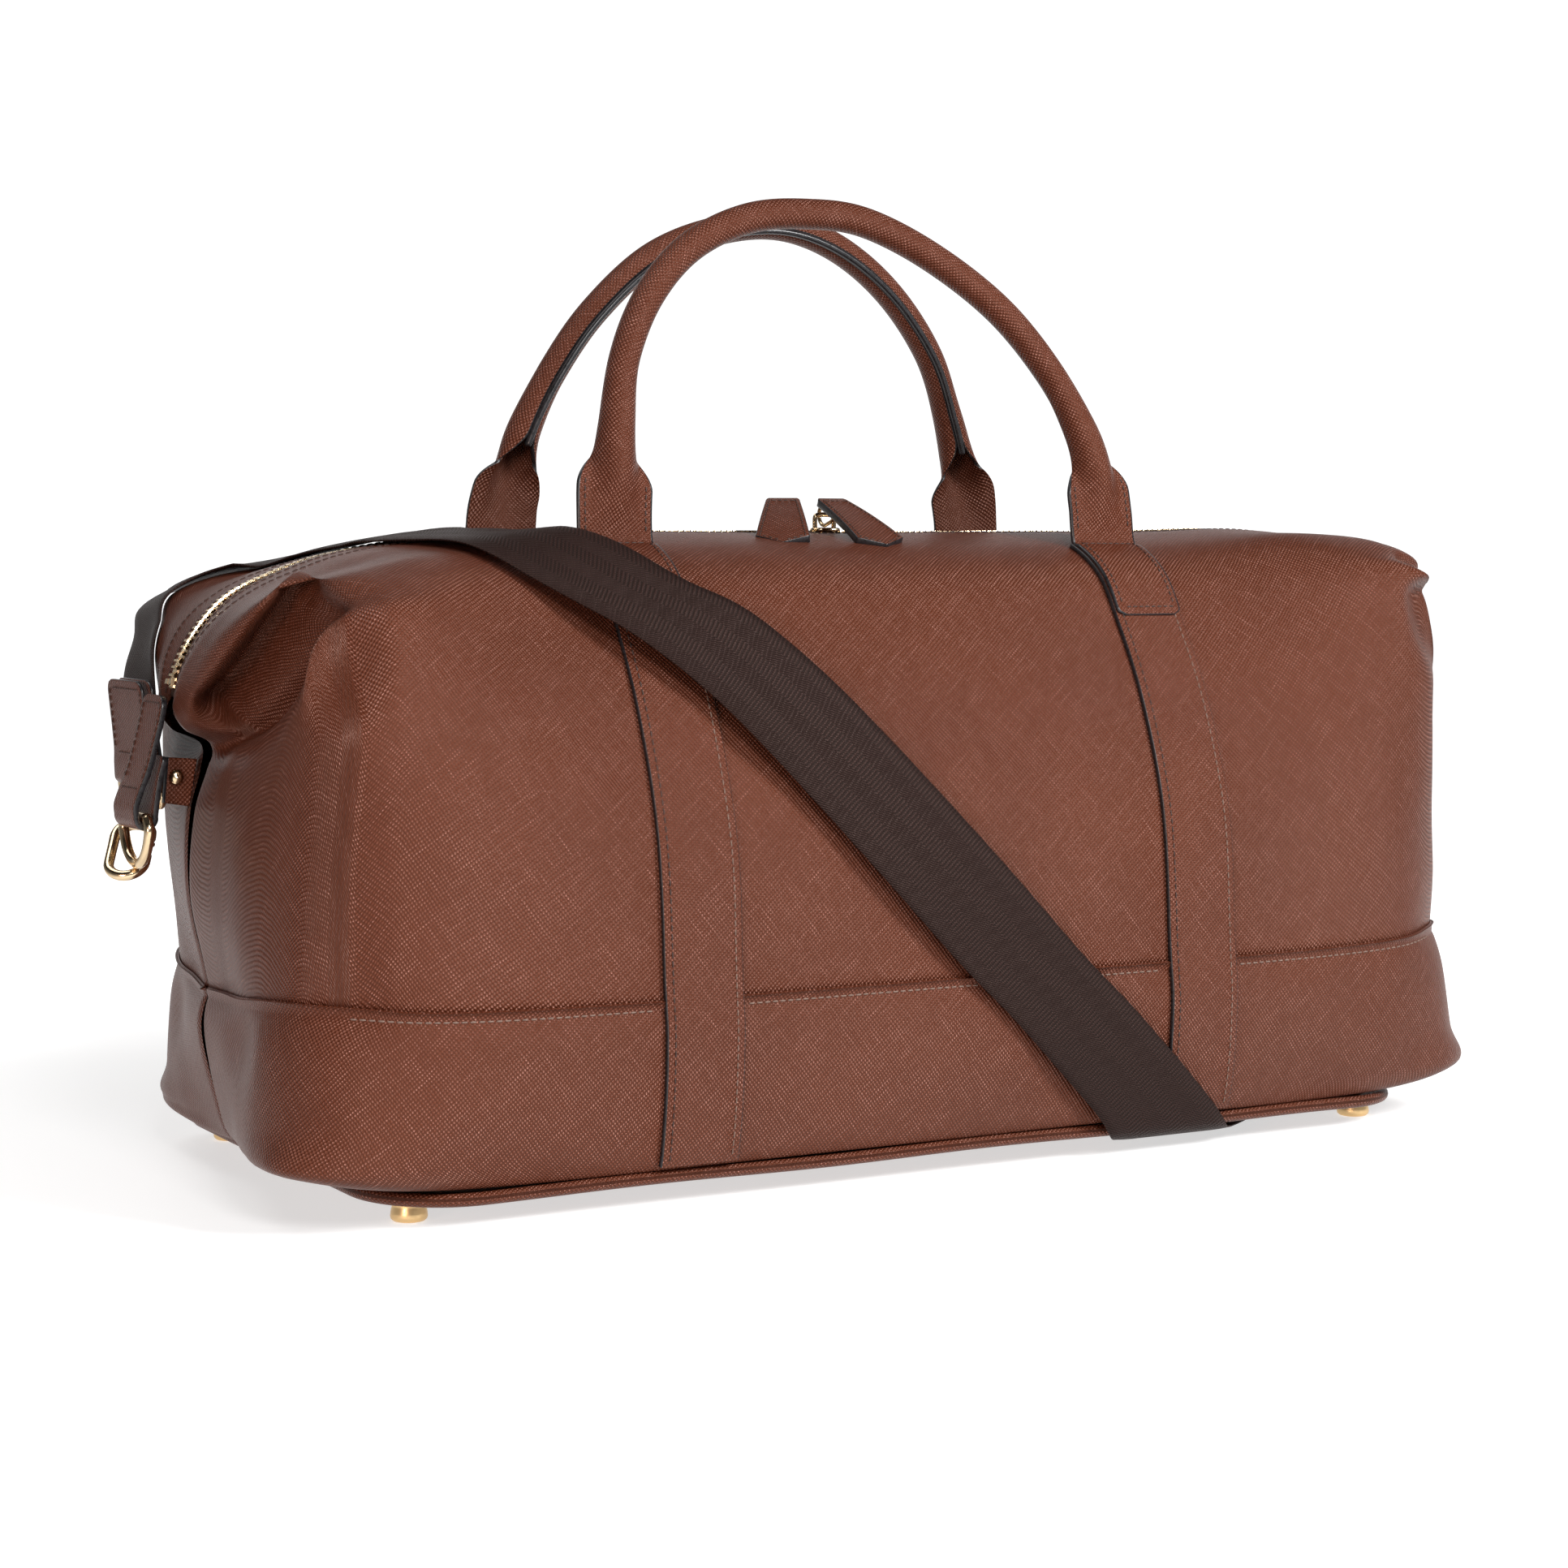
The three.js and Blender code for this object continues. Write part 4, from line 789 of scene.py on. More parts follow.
PIPING_OUT, PIPING_Z, PIPING_RADIUS = 2.75, 10.0, 2.35
piping_line = rounded_rectangle(
    BASE_X + PIPING_OUT, BASE_Y + PIPING_OUT, BASE_R + PIPING_OUT, PIPING_Z, 24, 60)
piping_line[:, 2] += 0.35 * np.sin(lengths(piping_line) / 23.0)
piping = tube(piping_line, PIPING_RADIUS, looped=True)
hide_with(join_parts("base_piping_cord", [piping], [LEATHER_LOOK]), "bag", "leather", "base_piping")

FOOT_X, FOOT_Y = 209.0, 88.5
FOOT_PROFILE = [[0, 0], [4.6, 0], [5.6, 0.25], [6.3, 0.9], [6.55, 1.8], [6.4, 3.2], [6.0, 5.0],
                [5.75, 6.6], [5.95, 7.2], [5.9, 7.7], [1.7, 7.75], [1.7, 14.2], [0, 14.4]]
for number, (sx, sy) in enumerate(((-1, -1), (1, -1), (-1, 1), (1, 1)), 1):
    foot = lathe(FOOT_PROFILE, (sx * FOOT_X, sy * FOOT_Y, 0))
    piece("metal_foot_%d" % number, [foot], [FOOT_LOOK], "bag", "gold", "foot_%d" % number)

# ---------- vertical strips ----------
STRIP_X, STRIP_HALF, STRIP_THICK, STRIP_LIFT = 109.0, 15.5, 1.7, 0.2


def down_the_bag(side, xs, first=2.0, last=3.0):
    """Surface points [row][x] and normals, from a rail of the panel to a rail of the band."""
    sy = dict(SIDES)[side]
    panel = panel_grids[side][V_PANEL >= first - 1e-6]
    band = band_grids[side][3:][V_BAND[3:] <= last + 1e-6]
    rows = np.concatenate([panel[:-2], band])
    points = np.stack([np.stack([np.interp(xs, row[:, 0], row[:, k]) for k in range(3)], -1)
                       for row in rows])
    for _ in range(3):
        points = evened(points)
    normal = unit(np.cross(np.gradient(points, axis=0), np.gradient(points, axis=1))) * -sy
    return points, normal


def strap_profile(half, thick):
    """Across a flat leather strip: offsets, heights, and how many columns at each side are edge."""
    edge = [(0.0, 0.0), (0.16, thick * 0.45), (0.02, thick - 0.32), (-0.34, thick - 0.05),
            (-1.1, thick)]
    left = [(-half - k, h) for k, h in edge]
    middle = [(x, thick) for x in np.linspace(-half + 3, half - 3, 9)]
    right = [(half + k, h) for k, h in edge[::-1]]
    profile = np.array(left + middle + right)
    return profile[:, 0], profile[:, 1], 3


for side, sy in SIDES:
    for end, sx in ENDS:
        offsets, heights, edge_columns = strap_profile(STRIP_HALF, STRIP_THICK)
        xs = sx * STRIP_X + offsets
        points, normal = down_the_bag(side, xs)
        verts = points + normal * (STRIP_LIFT + heights)[None, :, None]
        rows, cols = verts.shape[:2]
        s = lengths(verts[:, cols // 2])
        uv = np.stack(np.broadcast_arrays((offsets * MM)[None], -s[:, None] * MM), -1)
        faces = grid_faces(rows, cols, flip=sy < 0)
        column = np.tile(np.arange(cols - 1), rows - 1)
        edge = (column < edge_columns) | (column >= cols - 1 - edge_columns)
        strip = mesh("%s_strip_leather_%s" % (side, end), verts.reshape(-1, 3), faces,
                     EDGED, uv.reshape(-1, 2), edge.astype(int))
        hide_with(strip, "bag", "leather", "%s_strip_%s" % (side, end))
        hard_surfaces.append(verts)
        for inset in (-1, 1):
            k = nearest(offsets, inset * (STRIP_HALF - 3))
            rows_of = brown_stitches if inset < 0 else tan_stitches
            rows_of += stitch_line(verts[:, k], normal[:, k], width=0.27, start=1.0)

# ---------- handles: one leather piece each, from tab to tab over the top ----------
HANDLE_LEAN = 0.11
FOOT_Z, FOOT_DEPTH = 241.0, 49.5
ARCHES = {
    "front": [(-108.6, 248), (-107.2, 262), (-105.6, 278), (-100.9, 302), (-89.3, 325),
              (-71, 343.6), (-46, 355.3), (-20, 358.4), (6, 356.3), (36.5, 343.8), (66, 324.5),
              (87.8, 301), (100.8, 279), (106.6, 262), (108.4, 248)],
    "back": [(-108, 248), (-104.5, 262), (-100, 279), (-88.5, 302), (-72, 325), (-48, 346.5),
             (-20, 358), (9, 361.5), (37, 354), (63, 337), (84, 313), (95.5, 288), (103.5, 264),
             (107.6, 248)],
}
TAB_TIP_RAIL = 4.0
SHEET, HANDLE_HALF, HANDLE_CORNER = 1.7, 15.0, 3.2
TUBE_RADIUS = 5.8
ACROSS = 45  # points over the outer face of a handle's section
SEAM_START, SEAM_RADIUS, CORE_START, CORE_RADIUS = 84, 1.9, 96, 3.7
HANDLE_STEP, FOOT_RUN = 1.6, 60


def handle_path(side, sy):
    """Middle line of the handle, its outward normals and sideways vectors, and how far each
    point is along it. The line starts and ends at the tips of the stitched tabs."""
    feet = []
    for sx in (-1, 1):
        xs = sx * STRIP_X + np.array([-0.5, 0.5])
        points, normal = down_the_bag(side, xs, 2.0, 1.0)
        low = points.mean(1) + normal.mean(1) * (STRIP_LIFT + STRIP_THICK + 0.25)
        rails = V_PANEL[V_PANEL >= 2.0 - 1e-6]
        count = int((rails <= TAB_TIP_RAIL).sum())
        feet.append(resample(low[:count], 5.0)[::-1])
    arch = [(x, sy * (FOOT_DEPTH - HANDLE_LEAN * (z - FOOT_Z)), z) for x, z in ARCHES[side]]
    line = smooth_line(np.concatenate([feet[0], arch, feet[1][::-1]]), HANDLE_STEP)
    along = slopes(line)
    z = line[:, 2]
    tab = 1 - smooth((z - 229) / 14)
    flat = np.stack([np.zeros(len(z)), sy * (0.2 + 0.5 * tab), 0.1 + 0.62 * tab], -1)
    side_way = unit(np.cross(along, flat))
    out = unit(np.cross(side_way, along))
    return line, along, side_way, out, lengths(line)


def handle_section(far, total):
    """Outer section of the handle leather at a distance along: (a, 2) as sideways and outward."""
    d = min(far, total - far)
    a = np.linspace(-1, 1, ACROSS)
    half = HANDLE_HALF
    if d < HANDLE_CORNER:
        cut = HANDLE_CORNER**2 - (HANDLE_CORNER - d) ** 2
        half = HANDLE_HALF - HANDLE_CORNER + math.sqrt(max(cut, 0.0))
    rise = 6.2 * float(smooth((d - 44) / 30))
    hump = np.cos(np.clip(np.abs(a) / 0.72, 0, 1) * math.pi / 2) ** 1.5
    flat = np.stack([a * half, 1.2 + rise * hump], -1)
    open_up = float(smooth((d - 64) / 26))
    radius = TUBE_RADIUS + 1.5 * (1 - float(smooth((d - 74) / 40)))
    angle = a * math.radians(171)
    round_ = np.stack([radius * np.sin(angle), radius * np.cos(angle)], -1)
    return flat * (1 - open_up) + round_ * open_up


for side, sy in SIDES:
    line, along, side_way, out, far = handle_path(side, sy)
    outer, inner, uvs = [], [], []
    for k in range(len(line)):
        shape = handle_section(far[k], far[-1])
        slope = np.gradient(shape, axis=0)
        normal2 = unit(np.stack([-slope[:, 1], slope[:, 0]], -1))
        from_rim = np.minimum(np.arange(ACROSS), np.arange(ACROSS)[::-1])
        fade = 0.55 + 0.45 * np.clip(from_rim / 2.0, 0, 1)
        back = shape - normal2 * SHEET
        edge = shape - normal2 * (SHEET * 0.12 * (1 - fade) / 0.45)[:, None]
        outer.append(line[k] + edge[:, :1] * side_way[k] + edge[:, 1:] * out[k])
        inner.append(line[k] + back[:, :1] * side_way[k] + back[:, 1:] * out[k])
        run = lengths(shape)
        uvs.append(np.stack([run - run[-1] / 2, np.full(ACROSS, far[k])], -1) * MM)
    outer, inner, uvs = np.array(outer), np.array(inner), np.array(uvs)
    # section loop: outer face, far edge wall, inner face, near edge wall
    far_rim = (outer[:, -1] + inner[:, -1]) / 2 + unit(outer[:, -1] - outer[:, -2]) * 0.18
    near_rim = (outer[:, 0] + inner[:, 0]) / 2 + unit(outer[:, 0] - outer[:, 1]) * 0.18
    loop = np.concatenate([outer, far_rim[:, None], inner[:, ::-1], near_rim[:, None]], axis=1)
    loop_uv = np.concatenate([uvs, uvs[:, -1:], uvs[:, ::-1], uvs[:, :1]], axis=1)
    rows, cols = loop.shape[:2]
    kind = np.ones(cols, int)
    kind[1:ACROSS - 2] = 0
    kind[ACROSS + 1:2 * ACROSS] = 2
    index = list(np.tile(kind, rows - 1)) + [1, 1]
    handle = mesh("handle_leather_" + side, loop.reshape(-1, 3), closed_faces(rows, cols),
                  [LEATHER_LOOK, EDGE_LOOK, BACK_LOOK], loop_uv.reshape(-1, 2), index)
    outward(handle)
    start, finish = (0, sy * 0.0515, 0.2345), (0, sy * 0.0485, 0.252)
    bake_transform(handle)
    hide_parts("handle_" + side, side + "_handle_tab_left", side + "_handle_tab_right")
    foot_rows = int(FOOT_RUN / HANDLE_STEP)
    hard_surfaces += [loop[:foot_rows], loop[-foot_rows:]]

    # painted seam standing up along the inside of the roll
    roll = (far > SEAM_START) & (far < far[-1] - SEAM_START)
    seam = tube(line[roll] - out[roll] * (TUBE_RADIUS + 0.5), SEAM_RADIUS, 12, squash=0.7)
    seam = join_parts("handle_seam_" + side, [seam], [EDGE_LOOK])
    hide_with(seam, "handle_" + side, "leather")
    core_run = (far > CORE_START) & (far < far[-1] - CORE_START)
    core = join_parts("handle_cord_" + side, [tube(line[core_run], CORE_RADIUS, 12)], [CORD_LOOK])
    hide_with(core, "handle_" + side, "core", "handle_core_" + side)

    # stitches: both edges of the flat ends, across the tab's foot and across the top of the bag
    tab_stitches, foot_stitches = [], []
    for column in (4, 40):
        for low, high, rows_of in ((3.0, 43.0, tab_stitches), (47.0, 70.0, foot_stitches)):
            for way in (far, far[-1] - far):
                keep = (way >= low) & (way <= high)
                rows_of += stitch_line(outer[keep][:, column], out[keep], width=0.3, pitch=2.9)
    for low in (3.4, 41.5):
        for k in (nearest(far, low), nearest(far, far[-1] - low)):
            flat_out = np.repeat(out[k][None], 37, 0)
            tab_stitches += stitch_line(outer[k, 4:41], flat_out, width=0.3, pitch=2.9)
    thread = join_parts("tab_stitches_" + side, tab_stitches, [THREAD_LOOK])
    hide_with(thread, "bag", "leather")
    thread = join_parts("handle_stitches_" + side, foot_stitches, [THREAD_LOOK])
    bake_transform(thread)

# ---------- zip ----------
ZIP_PITCH = 2.7


def zip_line(depth, last=9.5, step=0.5):
    """Middle line of the zip, sunk by depth under the leather, with its up vectors."""
    u = np.linspace(0, last, 400)
    quarter = through(PANEL_RAILS[0], u) * [1, 0, 1]
    along = unit(np.gradient(quarter, axis=0))
    up = np.stack([-along[:, 2], np.zeros(len(u)), along[:, 0]], -1)
    sunk = quarter - up * depth
    left, right = settle(sunk, -1, 1) * [1, 0, 1], settle(sunk, 1, 1) * [1, 0, 1]
    line = resample(np.concatenate([left[::-1], right[1:]]), step)
    along = slopes(line)
    return line, along, np.stack([-along[:, 2], np.zeros(len(line)), along[:, 0]], -1)


def brick(centre, along, up, size, taper=0.72):
    """Small block with an eased top: size is (along, across, up)."""
    across = np.cross(up, along)
    parts = []
    for scale, h in ((1.0, -0.5), (1.0, 0.12), (taper, 0.5)):
        for a, b in ((-1, -1), (1, -1), (1, 1), (-1, 1)):
            parts.append(centre + along * a * size[0] / 2 * scale
                         + across * b * size[1] / 2 * scale + up * h * size[2])
    faces = [(3, 2, 1, 0), (8, 9, 10, 11)]
    for r in (0, 4):
        faces += [(r + k, r + (k + 1) % 4, r + 4 + (k + 1) % 4, r + 4 + k) for k in range(4)]
    return np.array(parts), faces, None, 0


line, along, up = zip_line(0.0)
far = lengths(line)
for side, sy in SIDES:
    teeth = []
    across = np.array([0, sy, 0.0])
    position = 1.5 + (0 if sy < 0 else ZIP_PITCH / 2)
    while position < far[-1] - 1.5:
        k = nearest(far, position)
        root = line[k] + across * 2.55 - up[k] * 0.55
        head = line[k] + across * 0.45 - up[k] * 0.4
        teeth.append(brick(root, along[k], up[k], (1.15, 2.9, 1.9)))
        teeth.append(brick(head, along[k], up[k], (1.75, 1.7, 2.0), 0.66))
        position += ZIP_PITCH
    for k in (6, len(line) - 7):
        stop = line[k] + [0, sy * 1.9, 0] - up[k] * 0.1
        teeth.append(brick(stop, along[k], up[k], (2.6, 3.6, 2.8)))
    teeth = join_parts("zip_teeth_" + side, teeth, [GOLD_LOOK], flat=True)
    hide_with(teeth, "bag", "gold", "zip_chain_" + side)
    deep, _, deep_up = zip_line(1.75, 9.7, 2.0)
    ys = np.array([0.15, 1.6, 3.4, 5.2, 7.0, 8.4]) * sy
    tops = deep[:, None] + np.array([0, 1.0, 0]) * ys[None, :, None]
    under = tops - deep_up[:, None] * 0.5
    verts, faces, _, _ = skin(np.concatenate([tops, under[:, ::-1]], axis=1))
    tape = outward(mesh("zip_tape_woven_" + side, verts, faces, [TAPE_LOOK]))
    hide_with(tape, "bag", "zip_tape", "zip_tape_" + side)


# ---------- flat leather pieces ----------
def ribbon(left, right, thick, layers=1, columns=9):
    """Closed flat strip between two edge lines, as (verts, faces, uv, index): index 0 is its
    faces and 1 its painted edges. Its outer face looks along the line crossed with its width."""
    left, right = np.asarray(left, float), np.asarray(right, float)
    middle = (left + right) / 2
    along = slopes(middle)
    half = np.linalg.norm(right - left, axis=-1) / 2
    side = unit(right - left)
    out = unit(np.cross(along, side))
    h = thick / 2
    notch = -0.14 if layers == 2 else 0.12
    edge = [(-0.3, h), (0.0, h - 0.28), (notch, 0.0), (0.0, -h + 0.28), (-0.3, -h)]
    section = [(-1.0, -dx, y) for dx, y in edge[::-1]]
    section += [(x, 0.0, h) for x in np.linspace(-1, 1, columns)[1:-1]]
    section += [(1.0, dx, y) for dx, y in edge]
    section += [(x, 0.0, -h) for x in np.linspace(1, -1, columns)[1:-1]]
    section = np.array(section)
    across = section[None, :, 0] * half[:, None] + section[None, :, 1]
    verts = middle[:, None] + across[..., None] * side[:, None] + section[:, 2:] * out[:, None]
    s = lengths(middle)
    shear = ((verts - middle[:, None]) * along[:, None]).sum(-1)
    uv = np.stack([across, s[:, None] + shear], -1) * MM
    rows, cols = verts.shape[:2]
    kind = np.zeros(cols, int)
    kind[:4] = 1
    kind[3 + columns:7 + columns] = 1
    index = list(np.tile(kind, rows - 1)) + [1, 1]
    return verts.reshape(-1, 3), closed_faces(rows, cols), uv.reshape(-1, 2), index


def rounded_half(s, total, half, start=0.0, end=0.0):
    """Half width along a strip whose corners are rounded at its start and end."""
    result = np.full(len(s), float(half))
    for gap, r in ((s, start), (total - s, end)):
        if r:
            inside = gap < r
            result[inside] -= r - np.sqrt(np.maximum(r**2 - (r - gap[inside]) ** 2, 0))
    return result


def edge_stitches(middle, side, out, half, inset, lift, keep, facing=1.0, **size):
    """Stitches along both edges of a flat strip, as parts for join_parts."""
    parts = []
    for k in (-1, 1):
        row = (middle + side * (k * (half - inset))[:, None] + out * lift)[keep]
        parts += stitch_line(row, out[keep] * facing, **size)
    return parts


# ---------- sliders, links and fobs ----------
ROOF_LOW, ROOF_TOP = 238.25, 239.65
CROWN_TOP = ROOF_TOP + 5.8
PIVOT_Z = CROWN_TOP - 0.6
SLIDER_X = 9.5
FOB_LENGTH, FOB_THICK = 46.0, 3.1
FOB_SHAPES = {"left": (-0.52, 0.31, 0.47), "right": (0.0, 0.33, 0.49)}  # turn, first and last slope


def turned(points, turn, pivot):
    """Points turned about Z, then moved to a pivot."""
    c, s = math.cos(turn), math.sin(turn)
    p = np.asarray(points, float)
    x, y = p[..., 0], p[..., 1]
    return np.stack([x * c - y * s, x * s + y * c, p[..., 2]], -1) + pivot


ROOF_OUTLINE = smooth_line(np.array([
    [-5.6, 2.6], [-4.2, 4.4], [0, 4.7], [4.2, 3.6], [5.7, 1.2], [5.7, -1.2], [4.2, -3.6], [0, -4.7],
    [-4.2, -4.4], [-5.6, -2.6]]), 0.7)
ROOF_LEVELS = ((0.9, -0.85), (1.0, -0.5), (1.0, 0.35), (0.9, 0.75), (0.6, 0.85))
CROWN = smooth_line(np.array([
    [-4.3, 0, ROOF_TOP - 0.6], [-4.3, 0, CROWN_TOP - 2.0], [-3.4, 0, CROWN_TOP - 0.8],
    [0, 0, CROWN_TOP - 0.5], [3.4, 0, CROWN_TOP - 0.8], [4.3, 0, CROWN_TOP - 2.0],
    [4.3, 0, ROOF_TOP - 0.6]], float), 0.5)
LINK_RADIUS, LINK_LENGTH, LINK_TILT, LINK_WIRE = 4.2, 12.8, -0.3, 0.8

for end, sx in ENDS:
    x = sx * SLIDER_X
    z = (ROOF_LOW + ROOF_TOP) / 2
    rings = [np.concatenate([ROOF_OUTLINE * k, np.full((len(ROOF_OUTLINE), 1), h)], -1)
             * [sx * -1.0, 1, 1] + [x, 0, z] for k, h in ROOF_LEVELS]
    parts = [skin(rings), tube(CROWN + [x, 0, 0], 0.95, 12)]
    piece("slider_" + end, parts, [GOLD_LOOK], "slider_" + end, "gold", "zip_slider_" + end)

    turn, first, last = FOB_SHAPES[end]
    pivot = np.array([x, 0, PIVOT_Z])
    a = np.linspace(0, 2 * math.pi, 48, endpoint=False)
    shift = np.where(np.cos(a) > 0, 0.0, -(LINK_LENGTH - 2 * LINK_RADIUS))
    y, z = LINK_RADIUS * np.cos(a) + shift, LINK_RADIUS * np.sin(a)
    loop = np.stack([np.zeros(48), y * math.cos(LINK_TILT) - z * math.sin(LINK_TILT),
                     y * math.sin(LINK_TILT) + z * math.cos(LINK_TILT)], -1)
    loop = resample(np.concatenate([loop, loop[:1]]), 0.6)[:-1]
    link = tube(turned(loop, turn, pivot), LINK_WIRE, 10, looped=True)
    link = join_parts("pull_link_" + end, [link], [GOLD_LOOK])
    hide_with(link, "pull_" + end, "gold", "zip_pull_link_" + end)

    s = np.concatenate([np.linspace(0, 40.5, 34), np.linspace(41.2, FOB_LENGTH, 9)])
    angle = first + (last - first) * (s / FOB_LENGTH) ** 1.2
    step = np.diff(s)
    y = -4.6 - np.concatenate([[0], np.cumsum(np.cos(angle[:-1]) * step)])
    zz = 5.0 - np.concatenate([[0], np.cumsum(np.sin(angle[:-1]) * step)])
    middle = turned(np.stack([np.zeros(len(s)), y, zz], -1), turn, pivot)
    half = np.interp(s, [0, 1.2, 40.5, FOB_LENGTH], [5.9, 6.6, 10.4, 0.5])
    side = turned(np.array([-1.0, 0, 0]), turn, 0)
    fob = ribbon(middle - side * half[:, None], middle + side * half[:, None], FOB_THICK, 2, 9)
    piece("pull_fob_" + end, [fob], EDGED, "pull_" + end, "leather",
          "zip_pull_fob_" + end)
    out = unit(np.cross(slopes(middle), side))
    facing = np.sign(out[0][2])
    lift = FOB_THICK / 2 * facing
    inset = np.interp(s, [0, 40, FOB_LENGTH], [1.7, 1.7, 1.9])
    keep = (s > 1.6) & (half > 1.9)
    rows_of = edge_stitches(middle, side, out, half, inset, lift, keep, facing,
                            width=0.26, pitch=2.6)
    cross = middle[3] + side * np.linspace(-5, 5, 6)[:, None] + out[3] * lift
    rows_of += stitch_line(cross, np.repeat(out[3][None] * facing, 6, 0), width=0.26, pitch=2.5)
    thread = join_parts("fob_stitches_" + end, rows_of, [THREAD_LOOK])
    hide_with(thread, "pull_" + end, "leather")

# ---------- zip ends ----------
RING_X, RING_Z, RING_WIRE = 274.8, 136.5, 1.9
TAB_HALF, TAB_THICK, TAB_STITCHES = 11.2, 2.1, (3.0, 34)
FLAG_CORNERS = np.array([[255.2, 139.2], [264.9, 140.8], [263.3, 157.2], [252.2, 156.2]])
STUD_PROFILE = [[0, -3.7], [1.4, -3.5], [2.5, -2.8], [2.9, -1.9], [1.1, -1.7], [1.1, 1.7],
                [2.9, 1.9], [2.5, 2.8], [1.4, 3.5], [0, 3.7]]
Y_WAY = np.array([0, 1.0, 0])


def at_end(points, sx, lift):
    return np.asarray(points, float) * [sx, 1, 1] + [0, 0, lift]


for end, sx in ENDS:
    lift = END_LIFT[end]
    path = np.concatenate([
        [[266.9, 179.5], [268.6, 171], [270.7, 163], [273.2, 154], [276.4, 146], [278.4, 140.5]],
        arc(RING_X, RING_Z, 3.5, 0.1, -math.pi - 0.2, 12),
        [[270.6, 143], [269.4, 150], [267.2, 158]]])
    path = smooth_line(path, 0.9)
    middle = np.stack([path[:, 0], np.zeros(len(path)), path[:, 1]], -1)
    s = lengths(middle)
    half = rounded_half(s, s[-1], TAB_HALF, 5.0, 2.0)
    middle = at_end(middle, sx, lift)
    tab = ribbon(middle - Y_WAY * half[:, None], middle + Y_WAY * half[:, None], TAB_THICK, 2)
    piece("end_tab_" + end, [tab], EDGED, "bag", "leather", "zip_end_tab_" + end)
    out = unit(np.cross(slopes(middle), Y_WAY)) * -sx
    out = out * np.sign((out @ np.array([sx, 0, 0.2]))[5])
    keep = (s > 2) & (s < TAB_STITCHES[1])
    brown_stitches += edge_stitches(middle, Y_WAY, out, half, 1.9, TAB_THICK / 2, keep,
                                    width=0.28, pitch=2.8)
    for k in (nearest(s, run) for run in TAB_STITCHES):
        row = middle[k] + out[k] * (TAB_THICK / 2) + Y_WAY * np.linspace(-8.5, 8.5, 8)[:, None]
        brown_stitches += stitch_line(row, np.repeat(out[k][None], 8, 0), width=0.28, pitch=2.8)

    bow = [[RING_X, y, RING_Z] for y in (-11.6, -6, 0, 6, 11.6)]
    turn = np.linspace(0.12, math.pi - 0.12, 15)
    bow += [[RING_X, 14.2 * math.cos(t), RING_Z - 2 - 15 * math.sin(t)] for t in turn]
    ring_line = smooth_line(np.array(bow + bow[:1]), 1.0)[:-1]
    ring = tube(at_end(ring_line, sx, lift), RING_WIRE, 18, looped=True)
    piece("end_ring_" + end, [ring], [GOLD_LOOK], "ring_" + end, "gold", "zip_end_ring_" + end)

    t = np.linspace(0, 1, 12)[:, None]
    edges = []
    for low, high in ((0, 3), (1, 2)):
        edge = FLAG_CORNERS[low] + (FLAG_CORNERS[high] - FLAG_CORNERS[low]) * t
        edges.append(at_end(np.stack([edge[:, 0], np.zeros(12), edge[:, 1]], -1), sx, lift))
    flag = ribbon(*edges, 3.0, 2)
    piece("seam_flag_" + end, [flag], EDGED, "bag", "leather", "seam_tab_" + end)
    stud = lathe(STUD_PROFILE, at_end([260.4, 0, 150], sx, lift), Y_WAY, 24)
    piece("seam_rivet_" + end, [stud], [GOLD_LOOK], "bag", "gold", "seam_stud_" + end)

# ---------- strap ends, eyes, hooks and gates ----------
EYE_HALF, EYE_HEIGHT, EYE_CORNER, EYE_WIRE = 21.4, 9.0, 3.4, 1.8
HOOK_NECK, HOOK_HALF_LENGTH, HOOK_HALF_WIDTH, HOOK_WIRE, HOOK_MOUTH = 10.5, 13.2, 6.6, 1.9, 3.4
HOOK_MIDDLE = HOOK_NECK + 1 + HOOK_HALF_LENGTH
NECK_PROFILE = [[0, 2.3], [2.6, 2.4], [3.0, 2.9], [3.0, 4.0], [2.5, 4.5], [2.2, 5.4], [2.2, 7.0],
                [2.9, 7.6], [3.1, 8.6], [2.7, 9.6], [2.2, 11.2], [0, 12]]
PATCH_HALF, PATCH_THICK = 19.2, 1.3
# the eye's middle, its lean, where the hook points, 1 if the strap goes up from the eye or -1 if
# it goes down, the hook's turn, and the length of the leather patch
END_PLACES = {
    "left": ((-262.5, 31.5, 148), -0.1, (-274.8, 11, 119), 1, -0.5, 36),
    "right": ((274.8, 0, 88.5), 0.0, (274.8, 0, 131), -1, 0.0, 16),
}


def hook_frame(start, aim, turn):
    """Axes of a hook whose +Z runs from start to aim, turned about it."""
    z = unit(np.asarray(aim, float) - start)
    swing = Vector((0, 0, 1)).rotation_difference(Vector(z)).to_matrix()
    x = np.array(swing @ Vector((math.cos(turn), math.sin(turn), 0)))
    y = np.array(swing @ Vector((-math.sin(turn), math.cos(turn), 0)))
    return x, y, z


